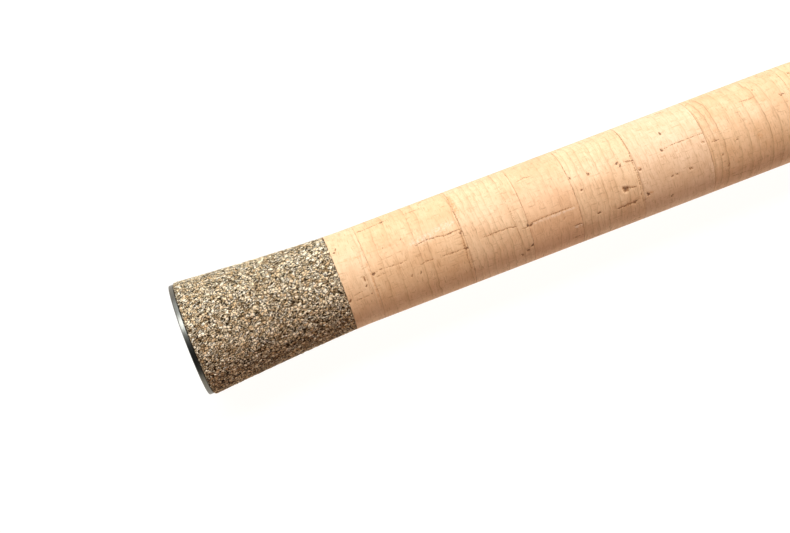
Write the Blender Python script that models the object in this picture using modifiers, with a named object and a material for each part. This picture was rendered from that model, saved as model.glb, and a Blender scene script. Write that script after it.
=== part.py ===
"""Feeder rod: two sections and a push-in quiver tip, as separate pieces that fit together.

The rod lies along +X, with the outer face of its butt plate at the origin. +Z is up, and the
reel seat and the line guides face -Y. Sizes are in metres.
"""

import math
from collections import namedtuple

import bmesh
import bpy
from mathutils import Vector

MM = 0.001

# Clearance between pieces that touch
GAP = 0.3 * MM

# Butt plate, with the plug that centres it in the blank
PLATE_RADIUS = 15.65 * MM
PLATE_THICKNESS = 1.3 * MM
PLATE_EDGE = 0.25 * MM
PLUG_LENGTH = 8.0 * MM

# Burl butt and rear cork grip
GRIP_RADIUS = 13.25 * MM
FLARE_RADIUS = 16.1 * MM
FLARE_END = 48.0 * MM
FLARE_POWER = 1.35
BURL_LENGTH = 42.0 * MM
BURL_CHAMFER = 0.4 * MM
BURL_RINGS = 4
REAR_SHIVE_WIDTHS = [w * MM for w in (8.3, 26.5, 17.3, 14.5, 18.2, 20.5, 27.0, 27.0)]
NOSE_LENGTH = 30.0 * MM
FLAT_ENOUGH = 0.02 * MM

# Trim rings at both ends of the reel seat
TRIM_LENGTH = 5.0 * MM
TRIM_STEP = 0.6 * MM
TRIM_PROUD = 0.15 * MM

# Reel seat
SEAT_LENGTH = 114.0 * MM
BARREL_WALL = 2.1 * MM
THREAD_STEP = 0.3 * MM
THREAD_RUNOUT = 3.4 * MM
SADDLE_GAP = 1.5 * MM
SADDLE_LENGTH = 36.0 * MM
SADDLE_WIDTH = 13.0 * MM
SADDLE_RISE = 0.7 * MM
SADDLE_RAMP = 2.5 * MM
KEYWAY_RUNOUT = 3.4 * MM
KEYWAY_WIDTH = 4.8 * MM
KEYWAY_DEPTH = 1.0 * MM
ARBOR_LENGTH = 34.0 * MM
ARBOR_WALL = 1.675 * MM

# Hoods that grip the reel's foot, and the nut that drives the sliding one
HOOD_LENGTH = 18.0 * MM
HOOD_WALL = 1.2 * MM
HOOD_MOUTH_HEIGHT = 7.6 * MM
HOOD_BACK_HEIGHT = 4.4 * MM
HOOD_POCKET_ANGLE = math.radians(46)
HOOD_SHOULDER_ANGLE = math.radians(24)
HOOD_SIDE_ANGLE = math.radians(5)
HOOD_BACK_WALL = 1.6 * MM
FIXED_HOOD_START = 2.0 * MM
LINER_THICKNESS = 0.8 * MM
LINER_LENGTH = 13.0 * MM
LINER_FACETS = 6
HOOD_TRAVEL = 34.0 * MM
TONGUE_HEIGHT = 0.9 * MM
TONGUE_ANGLE = math.radians(1)
NUT_LENGTH = 16.0 * MM
NUT_WALL = 3.0 * MM
NUT_FLUTES = 12
NUT_FLUTE_DEPTH = 0.7 * MM
NUT_FLUTE_RAMP = 0.6 * MM
NUT_BAND = 1.0 * MM
NUT_CHAMFER = 1.0 * MM

# Fore grip and the cone that closes it
FORE_SHIVE_WIDTHS = [w * MM for w in (20.0, 22.0, 20.0)]
FORE_BURL_LENGTH = 8.0 * MM
FORE_SWELL = 0.45 * MM
FORE_END_RADIUS = 9.4 * MM
FORE_POWER = 1.6
CHECK_LENGTH = 7.0 * MM
CHECK_WALL = 0.8 * MM

# Butt section blank
BUTT_BLANK_END = 1360.0 * MM
BUTT_BLANK_RADIUS = 6.4 * MM
BUTT_BLANK_END_RADIUS = 4.6 * MM
BUTT_BLANK_WALL = 1.1 * MM

# Tip section blank, which slips over the butt section
FERRULE_OVERLAP = 60.0 * MM
TIP_BLANK_LENGTH = 900.0 * MM
FERRULE_WALL = 0.8 * MM
TIP_BLANK_END_RADIUS = 2.35 * MM
TIP_BLANK_WALL = 0.7 * MM
FERRULE_RUNOUT = 12.0 * MM
QUIVER_SOCKET = 50.0 * MM
SOCKET_FLOOR = 2.0 * MM
SOCKET_LEDGE = 0.5 * MM

# Quiver tip
QUIVER_RADIUS = 1.35 * MM
QUIVER_END_RADIUS = 0.6 * MM
QUIVER_REACH = 543.0 * MM

# Whippings
WHIP_WALL = 0.5 * MM
WHIP_EDGE = 0.2 * MM
WHIP_END = 1.2 * MM
WHIP_SHOULDER = 1.35
WHIP_FALL_ANGLE = math.radians(32)
FERRULE_WHIP_LENGTH = 32.0 * MM

# Hook keeper
KEEPER_START = 30.0 * MM
KEEPER_SPAN = 11.0 * MM
KEEPER_RISE = 4.6 * MM
KEEPER_WIRE = 0.5 * MM
KEEPER_FOOT = 8.0 * MM
KEEPER_ARCH_POINTS = 8
KEEPER_ARCH_POWER = 0.7

# Guides: ahead is how far each stands beyond the mouth of the tip section, opening is the
# radius the line runs through, and rise is from the blank to the ring's centre
Guide = namedtuple("Guide", "name ahead opening rise reach foot wire feet")
GUIDES = (
    Guide("guide_1", -370 * MM, 9.0 * MM, 20.0 * MM, 15.0 * MM, 15.0 * MM, 0.80 * MM, 2),
    Guide("guide_2", -95 * MM, 6.5 * MM, 15.0 * MM, 12.0 * MM, 13.0 * MM, 0.70 * MM, 2),
    Guide("guide_3", 140 * MM, 5.0 * MM, 12.0 * MM, 9.5 * MM, 11.0 * MM, 0.65 * MM, 2),
    Guide("guide_4", 365 * MM, 4.0 * MM, 9.0 * MM, 7.0 * MM, 10.0 * MM, 0.60 * MM, 1),
    Guide("guide_5", 575 * MM, 3.5 * MM, 7.5 * MM, 6.0 * MM, 9.0 * MM, 0.55 * MM, 1),
    Guide("guide_6", 770 * MM, 3.2 * MM, 6.8 * MM, 5.5 * MM, 8.0 * MM, 0.50 * MM, 1),
)
RING_WALL = 1.2 * MM
RING_WIDTH = 2.6 * MM
RING_ROUND = 0.6 * MM
HOLDER_WALL = 0.8 * MM
HOLDER_WIDTH = 1.5 * MM
FOOT_WIDTH = 2.2 * MM
FOOT_THICKNESS = 0.7 * MM
FOOT_TIP_SHARE = 0.55
FOOT_BED = 0.42 * MM
LEG_SPREAD = math.radians(48)
LEG_FOOT_OFFSET = 0.48 * MM
LEG_KNEE_OUT = 0.65
LEG_KNEE_DOWN = 0.8
LEG_PARTS = 3
LEG_BINDING = 3

# Small bound guides of the quiver tip
QUIVER_GUIDE_BACK = [d * MM for d in (453, 313, 193, 88)]
QUIVER_GUIDE_OPENING = 1.8 * MM
QUIVER_GUIDE_WIRE = 0.4 * MM
QUIVER_GUIDE_RISE = 3.6 * MM
QUIVER_WHIP_LENGTH = 7.0 * MM
QUIVER_FOOT_IN = 2.8 * MM
QUIVER_FOOT_SINK = 0.32 * MM
TIP_RING_OPENING = 1.5 * MM
TIP_RING_TILT = math.radians(68)
TIP_TUBE_LENGTH = 9.0 * MM
TIP_TUBE_WALL = 0.35 * MM
BRACE_WIRE = 0.32 * MM
BRACE_START = 2.7 * MM
BRACE_ANGLE = math.radians(30)

# Facets
GRIP_SIDES = 28
SEAT_SIDES = 36
BLANK_SIDES = 16
RING_SIDES = 18
WHIP_SIDES = 16
SMALL_SIDES = 12
TORUS_SIDES = 12
WIRE_SIDES = 5
SHARP_ANGLE = math.radians(38)

# Places along the rod that follow from the lengths above
BURL_END = PLATE_THICKNESS + BURL_LENGTH
REAR_GRIP_END = BURL_END + sum(REAR_SHIVE_WIDTHS)
SEAT_START = REAR_GRIP_END + TRIM_LENGTH
SEAT_END = SEAT_START + SEAT_LENGTH
FIXED_HOOD_BACK = SEAT_START + FIXED_HOOD_START
FIXED_HOOD_MOUTH = FIXED_HOOD_BACK + HOOD_LENGTH
SADDLE_START = FIXED_HOOD_MOUTH + SADDLE_GAP
NUT_END = SEAT_END - GAP
NUT_START = NUT_END - NUT_LENGTH
HOOD_END = NUT_START - GAP
HOOD_MOUTH = HOOD_END - HOOD_LENGTH
THREAD_START = HOOD_END - HOOD_TRAVEL - THREAD_RUNOUT
KEYWAY_START = HOOD_MOUTH - HOOD_TRAVEL - KEYWAY_RUNOUT
FORE_GRIP_START = SEAT_END + TRIM_LENGTH
FORE_GRIP_END = FORE_GRIP_START + sum(FORE_SHIVE_WIDTHS) + FORE_BURL_LENGTH
CHECK_END = FORE_GRIP_END + CHECK_LENGTH
TIP_BLANK_START = BUTT_BLANK_END - FERRULE_OVERLAP
TIP_BLANK_END = TIP_BLANK_START + TIP_BLANK_LENGTH
QUIVER_START = TIP_BLANK_END - QUIVER_SOCKET + SOCKET_FLOOR
ROD_LENGTH = TIP_BLANK_END + QUIVER_REACH

# Radii that follow from the blank where the reel seat sits on it, outwards
SEAT_TAPER = (BUTT_BLANK_RADIUS - BUTT_BLANK_END_RADIUS) * SEAT_START / BUTT_BLANK_END
ARBOR_RADIUS = BUTT_BLANK_RADIUS - SEAT_TAPER + GAP + ARBOR_WALL
BARREL_BORE = ARBOR_RADIUS + GAP
BARREL_RADIUS = BARREL_BORE + BARREL_WALL
THREAD_RADIUS = BARREL_RADIUS - THREAD_STEP
NUT_RADIUS = THREAD_RADIUS + NUT_WALL
HOOD_BORE = BARREL_RADIUS + GAP
TRIM_RADIUS = HOOD_BORE + HOOD_WALL + TRIM_PROUD
NOSE_DROP = GRIP_RADIUS - TRIM_RADIUS
FORE_RADIUS = TRIM_RADIUS + FORE_SWELL

Finish = namedtuple("Finish", "name colour roughness metallic")
POLISHED_STEEL = Finish("polished_steel", (0.62, 0.62, 0.60), 0.18, 1.0)
ALUMINIUM = Finish("turned_aluminium", (0.50, 0.51, 0.53), 0.32, 1.0)
BURL_CORK = Finish("burl_cork", (0.30, 0.17, 0.09), 0.75, 0.0)
NATURAL_CORK = Finish("natural_cork", (0.66, 0.42, 0.27), 0.70, 0.0)
RIGID_FOAM = Finish("rigid_foam", (0.55, 0.50, 0.36), 0.90, 0.0)
NYLON = Finish("black_nylon", (0.02, 0.02, 0.022), 0.42, 0.0)
LINER_PLASTIC = Finish("liner_plastic", (0.05, 0.05, 0.055), 0.55, 0.0)
CARBON = Finish("lacquered_carbon", (0.018, 0.018, 0.022), 0.22, 0.0)
THREAD = Finish("lacquered_thread", (0.03, 0.03, 0.034), 0.20, 0.0)
GUIDE_STEEL = Finish("dark_guide_steel", (0.10, 0.10, 0.11), 0.28, 1.0)
CERAMIC = Finish("guide_ceramic", (0.045, 0.045, 0.05), 0.15, 0.0)
TIP_PAINT = Finish("tip_paint", (0.86, 0.84, 0.78), 0.30, 0.0)


def clear_scene():
    """Remove whatever the scene holds, so that only the rod is in it."""
    for old in list(bpy.data.objects):
        bpy.data.objects.remove(old, do_unlink=True)


def material(finish):
    """The Principled material of a finish, made once."""
    made = bpy.data.materials.get(finish.name)
    if made:
        return made
    made = bpy.data.materials.new(finish.name)
    made.use_nodes = True
    shader = made.node_tree.nodes["Principled BSDF"]
    shader.inputs["Base Color"].default_value = (*finish.colour, 1.0)
    shader.inputs["Roughness"].default_value = finish.roughness
    shader.inputs["Metallic"].default_value = finish.metallic
    made.diffuse_color = (*finish.colour, 1.0)
    return made


def empty(name, x, parent=None):
    """An empty on the rod's axis at x, which carries the pieces that move together."""
    made = bpy.data.objects.new(name, None)
    made.empty_display_size = 10 * MM
    PARTS.objects.link(made)
    made.parent = parent
    made.location.x = x - (parent.matrix_world.translation.x if parent else 0.0)
    bpy.context.view_layer.update()
    return made


def placed(name, data, finish, parent, x=0.0):
    """An object for a mesh or a curve, carried by parent and set at x along the rod."""
    made = bpy.data.objects.new(name, data)
    PARTS.objects.link(made)
    made.parent = parent
    made.location.x = x - parent.matrix_world.translation.x
    data.materials.append(material(finish))
    return made


def baked(thing):
    """Turn an object with modifiers, or a curve, into a plain mesh object in the same place."""
    bpy.context.view_layer.update()
    graph = bpy.context.evaluated_depsgraph_get()
    name = thing.name
    mesh = bpy.data.meshes.new_from_object(thing.evaluated_get(graph))
    shape = bmesh.new()
    shape.from_mesh(mesh)
    bmesh.ops.remove_doubles(shape, verts=shape.verts, dist=1e-6)
    bmesh.ops.recalc_face_normals(shape, faces=shape.faces)
    shape.to_mesh(mesh)
    shape.free()
    mesh.shade_smooth()
    mesh.set_sharp_from_angle(angle=SHARP_ANGLE)
    made = bpy.data.objects.new(name, mesh)
    PARTS.objects.link(made)
    made.parent = thing.parent
    made.matrix_world = thing.matrix_world
    bpy.data.objects.remove(thing, do_unlink=True)
    made.name = name
    mesh.name = name
    return made


def turned(name, profile, finish, parent, sides=GRIP_SIDES, x=0.0, y=0.0):
    """A piece turned about a line along X. The profile's (x, radius) points run down its outer
    side, from the tip end to the butt end, and back along its bore. One that starts and ends at
    radius 0 is solid."""
    mesh = bpy.data.meshes.new(name)
    points = [(radius, 0.0, along) for along, radius in profile]
    edges = [(i, i + 1) for i in range(len(points) - 1)]
    if profile[0][1] > 0.0:
        edges.append((len(points) - 1, 0))
    mesh.from_pydata(points, edges, [])
    piece = placed(name, mesh, finish, parent, x)
    piece.location.y = y
    piece.rotation_euler.y = math.pi / 2
    screw = piece.modifiers.new("turn", "SCREW")
    screw.axis = "Z"
    screw.steps = sides
    screw.render_steps = sides
    screw.use_merge_vertices = True
    screw.merge_threshold = 1e-6
    return baked(piece)


def sleeve(name, start, end, outer, inner, finish, parent, sides=GRIP_SIDES, rings=1):
    """A turned sleeve between two places. outer and inner give the radius at x."""
    places = [end + (start - end) * i / rings for i in range(rings + 1)]
    profile = [(x, outer(x)) for x in places] + [(start, inner(start)), (end, inner(end))]
    return turned(name, profile, finish, parent, sides)


def polar_ring(x, radius_at, sides):
    """Points around the axis at x. Angle 0 faces -Y, where the guides and the reel are."""
    angles = [2 * math.pi * i / sides for i in range(sides)]
    return [Vector((x, -radius_at(a) * math.cos(a), radius_at(a) * math.sin(a))) for a in angles]


def lofted(name, rings, finish, parent):
    """A hollow piece skinned over rings of points that close on themselves: along the outside
    from one end to the other, then back along the inside."""
    shape = bmesh.new()
    loops = [[shape.verts.new(point) for point in ring] for ring in rings]
    for one, other in zip(loops, loops[1:] + loops[:1]):
        for i in range(len(one)):
            j = (i + 1) % len(one)
            shape.faces.new((one[i], one[j], other[j], other[i]))
    bmesh.ops.recalc_face_normals(shape, faces=shape.faces)
    mesh = bpy.data.meshes.new(name)
    shape.to_mesh(mesh)
    shape.free()
    mesh.shade_smooth()
    mesh.set_sharp_from_angle(angle=SHARP_ANGLE)
    piece = placed(name, mesh, finish, parent, parent.matrix_world.translation.x)
    piece.data.transform(parent.matrix_world.inverted())
    return piece


def wire(name, points, radius, finish, parent):
    """A bent wire of round section through points."""
    curve = bpy.data.curves.new(name, "CURVE")
    curve.dimensions = "3D"
    curve.bevel_depth = radius
    curve.bevel_resolution = 1
    curve.use_fill_caps = True
    line = curve.splines.new("POLY")
    line.points.add(len(points) - 1)
    origin = parent.matrix_world.translation
    for spot, point in zip(line.points, points):
        spot.co = (*(Vector(point) - origin), 1.0)
    return baked(placed(name, curve, finish, parent, origin.x))


def block(name, low, high, finish, parent, far_share=1.0, far_high=False):
    """A box between two corners. far_share narrows and thins the end that is furthest out."""
    shape = bmesh.new()
    bmesh.ops.create_cube(shape, size=1.0)
    low, high = Vector(low), Vector(high)
    for vert in shape.verts:
        share = far_share if (vert.co.x > 0) == far_high else 1.0
        vert.co.z *= share
        if vert.co.y < 0:
            vert.co.y = 0.5 - share
        vert.co = (low + high) / 2 + Vector(a * b for a, b in zip(vert.co, high - low))
    mesh = bpy.data.meshes.new(name)
    shape.to_mesh(mesh)
    shape.free()
    piece = placed(name, mesh, finish, parent, parent.matrix_world.translation.x)
    mesh.transform(parent.matrix_world.inverted())
    return piece


def combined(first, others, operation="UNION"):
    """Join others to the first piece, or cut them from it. They are used up."""
    for number, other in enumerate(others):
        boolean = first.modifiers.new(f"step_{number}", "BOOLEAN")
        boolean.operation = operation
        boolean.solver = "EXACT"
        boolean.object = other
    done = baked(first)
    for other in others:
        bpy.data.objects.remove(other, do_unlink=True)
    return done


def rear_grip_radius(x):
    """Outside of the rear grip: the flare at the butt, a parallel run and a slight nose."""
    flare = max(0.0, (FLARE_END - x) / (FLARE_END - PLATE_THICKNESS))
    nose = max(0.0, (x - REAR_GRIP_END + NOSE_LENGTH) / NOSE_LENGTH)
    return GRIP_RADIUS + (FLARE_RADIUS - GRIP_RADIUS) * flare**FLARE_POWER - NOSE_DROP * nose**2


def fore_grip_radius(x):
    """Outside of the fore grip: fullest at the reel seat, drawn in towards the check."""
    share = (x - FORE_GRIP_START) / (FORE_GRIP_END - FORE_GRIP_START)
    return FORE_RADIUS - (FORE_RADIUS - FORE_END_RADIUS) * share**FORE_POWER


def butt_blank_radius(x):
    """Outside of the butt section's blank, a plain taper."""
    return BUTT_BLANK_RADIUS + (BUTT_BLANK_END_RADIUS - BUTT_BLANK_RADIUS) * x / BUTT_BLANK_END


def blank_clearance(x):
    """Bore of a piece that is threaded onto the butt section's blank."""
    return butt_blank_radius(x) + GAP


def tip_blank_radius(x):
    """Outside of the tip section's blank, from the ferrule's mouth to the quiver's socket."""
    mouth = butt_blank_radius(TIP_BLANK_START) + GAP + FERRULE_WALL
    share = (x - TIP_BLANK_START) / (TIP_BLANK_END - TIP_BLANK_START)
    return mouth + (TIP_BLANK_END_RADIUS - mouth) * share


def quiver_radius(x):
    """Outside of the quiver tip."""
    share = (x - QUIVER_START) / (ROD_LENGTH - QUIVER_START)
    return QUIVER_RADIUS + (QUIVER_END_RADIUS - QUIVER_RADIUS) * share


def make_butt_plate(parent):
    """A disc with softened edges, and a plug behind it that enters the blank."""
    plug = butt_blank_bore(0.0) - GAP
    profile = [
        (PLATE_THICKNESS + PLUG_LENGTH, 0.0),
        (PLATE_THICKNESS + PLUG_LENGTH, plug - PLATE_EDGE),
        (PLATE_THICKNESS + PLUG_LENGTH - PLATE_EDGE, plug),
        (PLATE_THICKNESS, plug),
        (PLATE_THICKNESS, PLATE_RADIUS - PLATE_EDGE),
        (PLATE_THICKNESS - PLATE_EDGE, PLATE_RADIUS),
        (PLATE_EDGE, PLATE_RADIUS),
        (0.0, PLATE_RADIUS - PLATE_EDGE),
        (0.0, 0.0),
    ]
    turned("butt_plate", profile, POLISHED_STEEL, parent, GRIP_SIDES)


def make_burl_butt(parent):
    """The flared butt, bored for the blank, its rear edge slightly chamfered."""
    start = PLATE_THICKNESS + GAP
    end = BURL_END - GAP / 2
    rear = start + BURL_CHAMFER
    places = [end + (rear - end) * i / BURL_RINGS for i in range(BURL_RINGS + 1)]
    profile = [(x, rear_grip_radius(x)) for x in places]
    profile.append((start, rear_grip_radius(start) - BURL_CHAMFER))
    profile += [(start, blank_clearance(start)), (end, blank_clearance(end))]
    turned("burl_butt", profile, BURL_CORK, parent, GRIP_SIDES)


def make_shives(stem, start, widths, outer, parent):
    """A row of cork shives threaded on the blank. Returns where the row ends."""
    for number, width in enumerate(widths, 1):
        low = start + GAP / 2
        high = start + width - GAP / 2
        middle = (low + high) / 2
        bow = abs(outer(middle) - (outer(low) + outer(high)) / 2)
        rings = 2 if bow > FLAT_ENOUGH else 1
        sleeve(f"{stem}_{number}", low, high, outer, blank_clearance, NATURAL_CORK, parent, rings=rings)
        start += width
    return start


def make_trim_ring(name, start, radius, parent):
    """A turned ring, crowned in its middle and bored for the blank."""
    low = start + GAP / 2
    high = start + TRIM_LENGTH - GAP / 2
    third = (high - low) / 3
    profile = [
        (high, radius - TRIM_STEP),
        (high - third, radius),
        (low + third, radius),
        (low, radius - TRIM_STEP),
        (low, blank_clearance(low)),
        (high, blank_clearance(high)),
    ]
    turned(name, profile, ALUMINIUM, parent, GRIP_SIDES)


def arbor_radius(x):
    """Outside of the arbors that fill the reel seat's bore, the same all along."""
    return ARBOR_RADIUS


def make_saddle(parent):
    """The flat land for the reel's foot, ramped down to the barrel at both ends."""
    half = SADDLE_WIDTH / 2
    top = BARREL_RADIUS + SADDLE_RISE
    shore = math.sqrt(BARREL_RADIUS**2 - half**2) - GAP
    floor = BARREL_BORE + GAP
    end = SADDLE_START + SADDLE_LENGTH
    outline = [
        (SADDLE_START, floor),
        (SADDLE_START, max(shore, floor + GAP)),
        (SADDLE_START + SADDLE_RAMP, top),
        (end - SADDLE_RAMP, top),
        (end, max(shore, floor + GAP)),
        (end, floor),
    ]
    shape = bmesh.new()
    sides = [[shape.verts.new((x, -y, z)) for x, y in outline] for z in (-half, half)]
    for side in sides:
        shape.faces.new(side)
    for i in range(len(outline)):
        j = (i + 1) % len(outline)
        shape.faces.new((sides[0][i], sides[0][j], sides[1][j], sides[1][i]))
    bmesh.ops.recalc_face_normals(shape, faces=shape.faces)
    mesh = bpy.data.meshes.new("saddle")
    shape.to_mesh(mesh)
    shape.free()
    mesh.transform(parent.matrix_world.inverted())
    return placed("saddle", mesh, NYLON, parent, parent.matrix_world.translation.x)


def make_reel_seat(parent):
    """The barrel with its saddle for the reel's foot, its thread land and its keyway."""
    start = SEAT_START + GAP / 2
    end = SEAT_END - GAP / 2
    profile = [
        (end, THREAD_RADIUS),
        (THREAD_START, THREAD_RADIUS),
        (THREAD_START - THREAD_STEP, BARREL_RADIUS),
        (start, BARREL_RADIUS),
        (start, BARREL_BORE),
        (end, BARREL_BORE),
    ]
    barrel = turned("seat_body", profile, NYLON, parent, SEAT_SIDES)
    barrel = combined(barrel, [make_saddle(parent)])
    key_low = (KEYWAY_START, THREAD_RADIUS - KEYWAY_DEPTH, -KEYWAY_WIDTH / 2)
    key_high = (end + TRIM_LENGTH, BARREL_RADIUS + TRIM_LENGTH, KEYWAY_WIDTH / 2)
    combined(barrel, [block("keyway", key_low, key_high, NYLON, parent)], "DIFFERENCE")
    for number, low in enumerate((start + GAP, end - ARBOR_LENGTH - GAP), 1):
        high = low + ARBOR_LENGTH
        outer, inner = arbor_radius, blank_clearance
        sleeve(f"seat_arbor_{number}", low, high, outer, inner, RIGID_FOAM, parent, RING_SIDES)


def pocket_lobe(angle, reach=0.0):
    """1 over the reel's foot, falling smoothly to 0 beside it. reach widens the lobe."""
    away = abs(math.remainder(angle, 2 * math.pi))
    share = (away - HOOD_SHOULDER_ANGLE - reach) / (HOOD_POCKET_ANGLE - HOOD_SHOULDER_ANGLE)
    share = min(1.0, max(0.0, share))
    return 0.5 + 0.5 * math.cos(math.pi * share)


def hood_ceiling(x, mouth, back):
    """Height of the pocket's ceiling over the barrel at x: highest at the mouth."""
    share = (x - mouth) / (back - mouth)
    return HOOD_MOUTH_HEIGHT + (HOOD_BACK_HEIGHT - HOOD_MOUTH_HEIGHT) * share


def make_hood(stem, mouth, back, parent, keyed):
    """A metal hood round the barrel, with a ramped pocket that is open at its mouth, and the
    plastic liner under the pocket's roof. A keyed hood has a tongue that runs in the keyway."""
    inward = 1.0 if mouth > back else -1.0
    floor = back + inward * HOOD_BACK_WALL

    def bore(angle):
        tongue = keyed and abs(abs(angle) - math.pi) < TONGUE_ANGLE
        return HOOD_BORE - (TONGUE_HEIGHT if tongue else 0.0)

    def pocket(x):
        return lambda a: bore(a) + hood_ceiling(x, mouth, back) * pocket_lobe(a)

    def outside(x, shrink=0.0):
        lift = hood_ceiling(x, mouth, back)
        return lambda a: HOOD_BORE + HOOD_WALL - shrink + lift * pocket_lobe(a, HOOD_SIDE_ANGLE)

    edge = HOOD_WALL / 2
    rings = [
        polar_ring(back, bore, SEAT_SIDES),
        polar_ring(back, outside(back, edge), SEAT_SIDES),
        polar_ring(back + inward * edge, outside(back), SEAT_SIDES),
        polar_ring(mouth - inward * edge, outside(mouth), SEAT_SIDES),
        polar_ring(mouth, outside(mouth, edge / 2), SEAT_SIDES),
        polar_ring(mouth, pocket(mouth), SEAT_SIDES),
        polar_ring(floor, pocket(floor), SEAT_SIDES),
        polar_ring(floor, bore, SEAT_SIDES),
    ]
    lofted(f"{stem}_hood", rings, ALUMINIUM, parent)

    far = floor + inward * GAP
    near = far + inward * LINER_LENGTH
    count = LINER_FACETS
    angles = [2 * math.pi / SEAT_SIDES * (i - count / 2) for i in range(count + 1)]

    def liner_section(x):
        top = [pocket(x)(a) - GAP for a in angles]
        under = [max(HOOD_BORE, t - LINER_THICKNESS) for t in top]
        outline = list(zip(angles, top)) + list(zip(reversed(angles), reversed(under)))
        return [Vector((x, -r * math.cos(a), r * math.sin(a))) for a, r in outline]

    shape = bmesh.new()
    ends = [[shape.verts.new(p) for p in liner_section(x)] for x in (far, near)]
    for i in range(len(ends[0])):
        j = (i + 1) % len(ends[0])
        shape.faces.new((ends[0][i], ends[0][j], ends[1][j], ends[1][i]))
    for end in ends:
        for i in range(count):
            shape.faces.new((end[i], end[i + 1], end[-i - 2], end[-i - 1]))
    bmesh.ops.recalc_face_normals(shape, faces=shape.faces)
    mesh = bpy.data.meshes.new(f"{stem}_hood_liner")
    shape.to_mesh(mesh)
    shape.free()
    mesh.transform(parent.matrix_world.inverted())
    placed(f"{stem}_hood_liner", mesh, LINER_PLASTIC, parent, parent.matrix_world.translation.x)


def make_lock_nut(parent):
    """The nut that drives the sliding hood, fluted for the fingers between two plain bands."""
    sides = NUT_FLUTES * 3

    def plain(radius):
        return lambda a: radius

    def fluted(a):
        return NUT_RADIUS - NUT_FLUTE_DEPTH * (0.5 - 0.5 * math.cos(NUT_FLUTES * a))

    bore = plain(THREAD_RADIUS + GAP)
    band = NUT_START + NUT_CHAMFER + NUT_BAND
    rings = [
        polar_ring(NUT_START, bore, sides),
        polar_ring(NUT_START, plain(NUT_RADIUS - NUT_CHAMFER), sides),
        polar_ring(NUT_START + NUT_CHAMFER, plain(NUT_RADIUS), sides),
        polar_ring(band, plain(NUT_RADIUS), sides),
        polar_ring(band + NUT_FLUTE_RAMP, fluted, sides),
        polar_ring(NUT_END - NUT_CHAMFER, fluted, sides),
        polar_ring(NUT_END, plain(NUT_RADIUS - NUT_CHAMFER), sides),
        polar_ring(NUT_END, bore, sides),
    ]
    lofted("lock_nut", rings, ALUMINIUM, parent)


def make_winding_check(parent):
    """A thin turned cone that closes the fore grip on the blank."""
    start = FORE_GRIP_END + GAP / 2
    profile = [
        (CHECK_END, blank_clearance(CHECK_END) + CHECK_WALL),
        (start + CHECK_LENGTH / 3, FORE_END_RADIUS - CHECK_WALL),
        (start, FORE_END_RADIUS),
        (start, blank_clearance(start)),
        (CHECK_END, blank_clearance(CHECK_END)),
    ]
    turned("winding_check", profile, ALUMINIUM, parent, GRIP_SIDES)


def butt_blank_bore(x):
    """Bore of the butt section's blank."""
    return butt_blank_radius(x) - BUTT_BLANK_WALL


def make_blanks(butt, tip, quiver):
    """The hollow tubes of both sections, the slip-over joint between them and the quiver."""
    start = PLATE_THICKNESS + GAP
    outer, inner = butt_blank_radius, butt_blank_bore
    sleeve("butt_blank", start, BUTT_BLANK_END, outer, inner, CARBON, butt, BLANK_SIDES)

    clear = BUTT_BLANK_END + GAP
    runout = clear + FERRULE_RUNOUT
    socket = TIP_BLANK_END - QUIVER_SOCKET
    socket_bore = QUIVER_RADIUS + GAP
    narrow = socket_bore - SOCKET_LEDGE
    profile = [
        (TIP_BLANK_END, tip_blank_radius(TIP_BLANK_END)),
        (TIP_BLANK_START, tip_blank_radius(TIP_BLANK_START)),
        (TIP_BLANK_START, butt_blank_radius(TIP_BLANK_START) + GAP),
        (clear, butt_blank_radius(BUTT_BLANK_END) + GAP),
        (runout, tip_blank_radius(runout) - TIP_BLANK_WALL - GAP),
        (socket - FERRULE_RUNOUT, narrow),
        (socket, narrow),
        (socket, socket_bore),
        (TIP_BLANK_END, socket_bore),
    ]
    turned("tip_blank", profile, CARBON, tip, BLANK_SIDES)

    profile = [
        (ROD_LENGTH, 0.0),
        (ROD_LENGTH, quiver_radius(ROD_LENGTH)),
        (QUIVER_START, quiver_radius(QUIVER_START)),
        (QUIVER_START, 0.0),
    ]
    turned("quiver_tip", profile, TIP_PAINT, quiver, SMALL_SIDES)


def make_whipping(name, low, high, radius_at, parent, bump=0.0, half_width=0.0):
    """A lacquered thread binding round the blank from low to high. bump is how far it swells
    over a foot of half_width on its -Y side."""
    flat = math.atan2(half_width + GAP, radius_at(low) + GAP) * WHIP_SHOULDER

    def swell(angle):
        away = abs(math.remainder(angle, 2 * math.pi))
        share = min(1.0, max(0.0, (away - flat) / WHIP_FALL_ANGLE))
        return bump * (0.5 + 0.5 * math.cos(math.pi * share))

    def ring(x, wall):
        return polar_ring(x, lambda a: radius_at(x) + GAP + wall + swell(a), WHIP_SIDES)

    rings = [
        ring(low, 0.0),
        ring(low, WHIP_EDGE),
        ring(low + WHIP_END, WHIP_WALL),
        ring(high - WHIP_END, WHIP_WALL),
        ring(high, WHIP_EDGE),
        ring(high, 0.0),
    ]
    lofted(name, rings, THREAD, parent)


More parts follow.
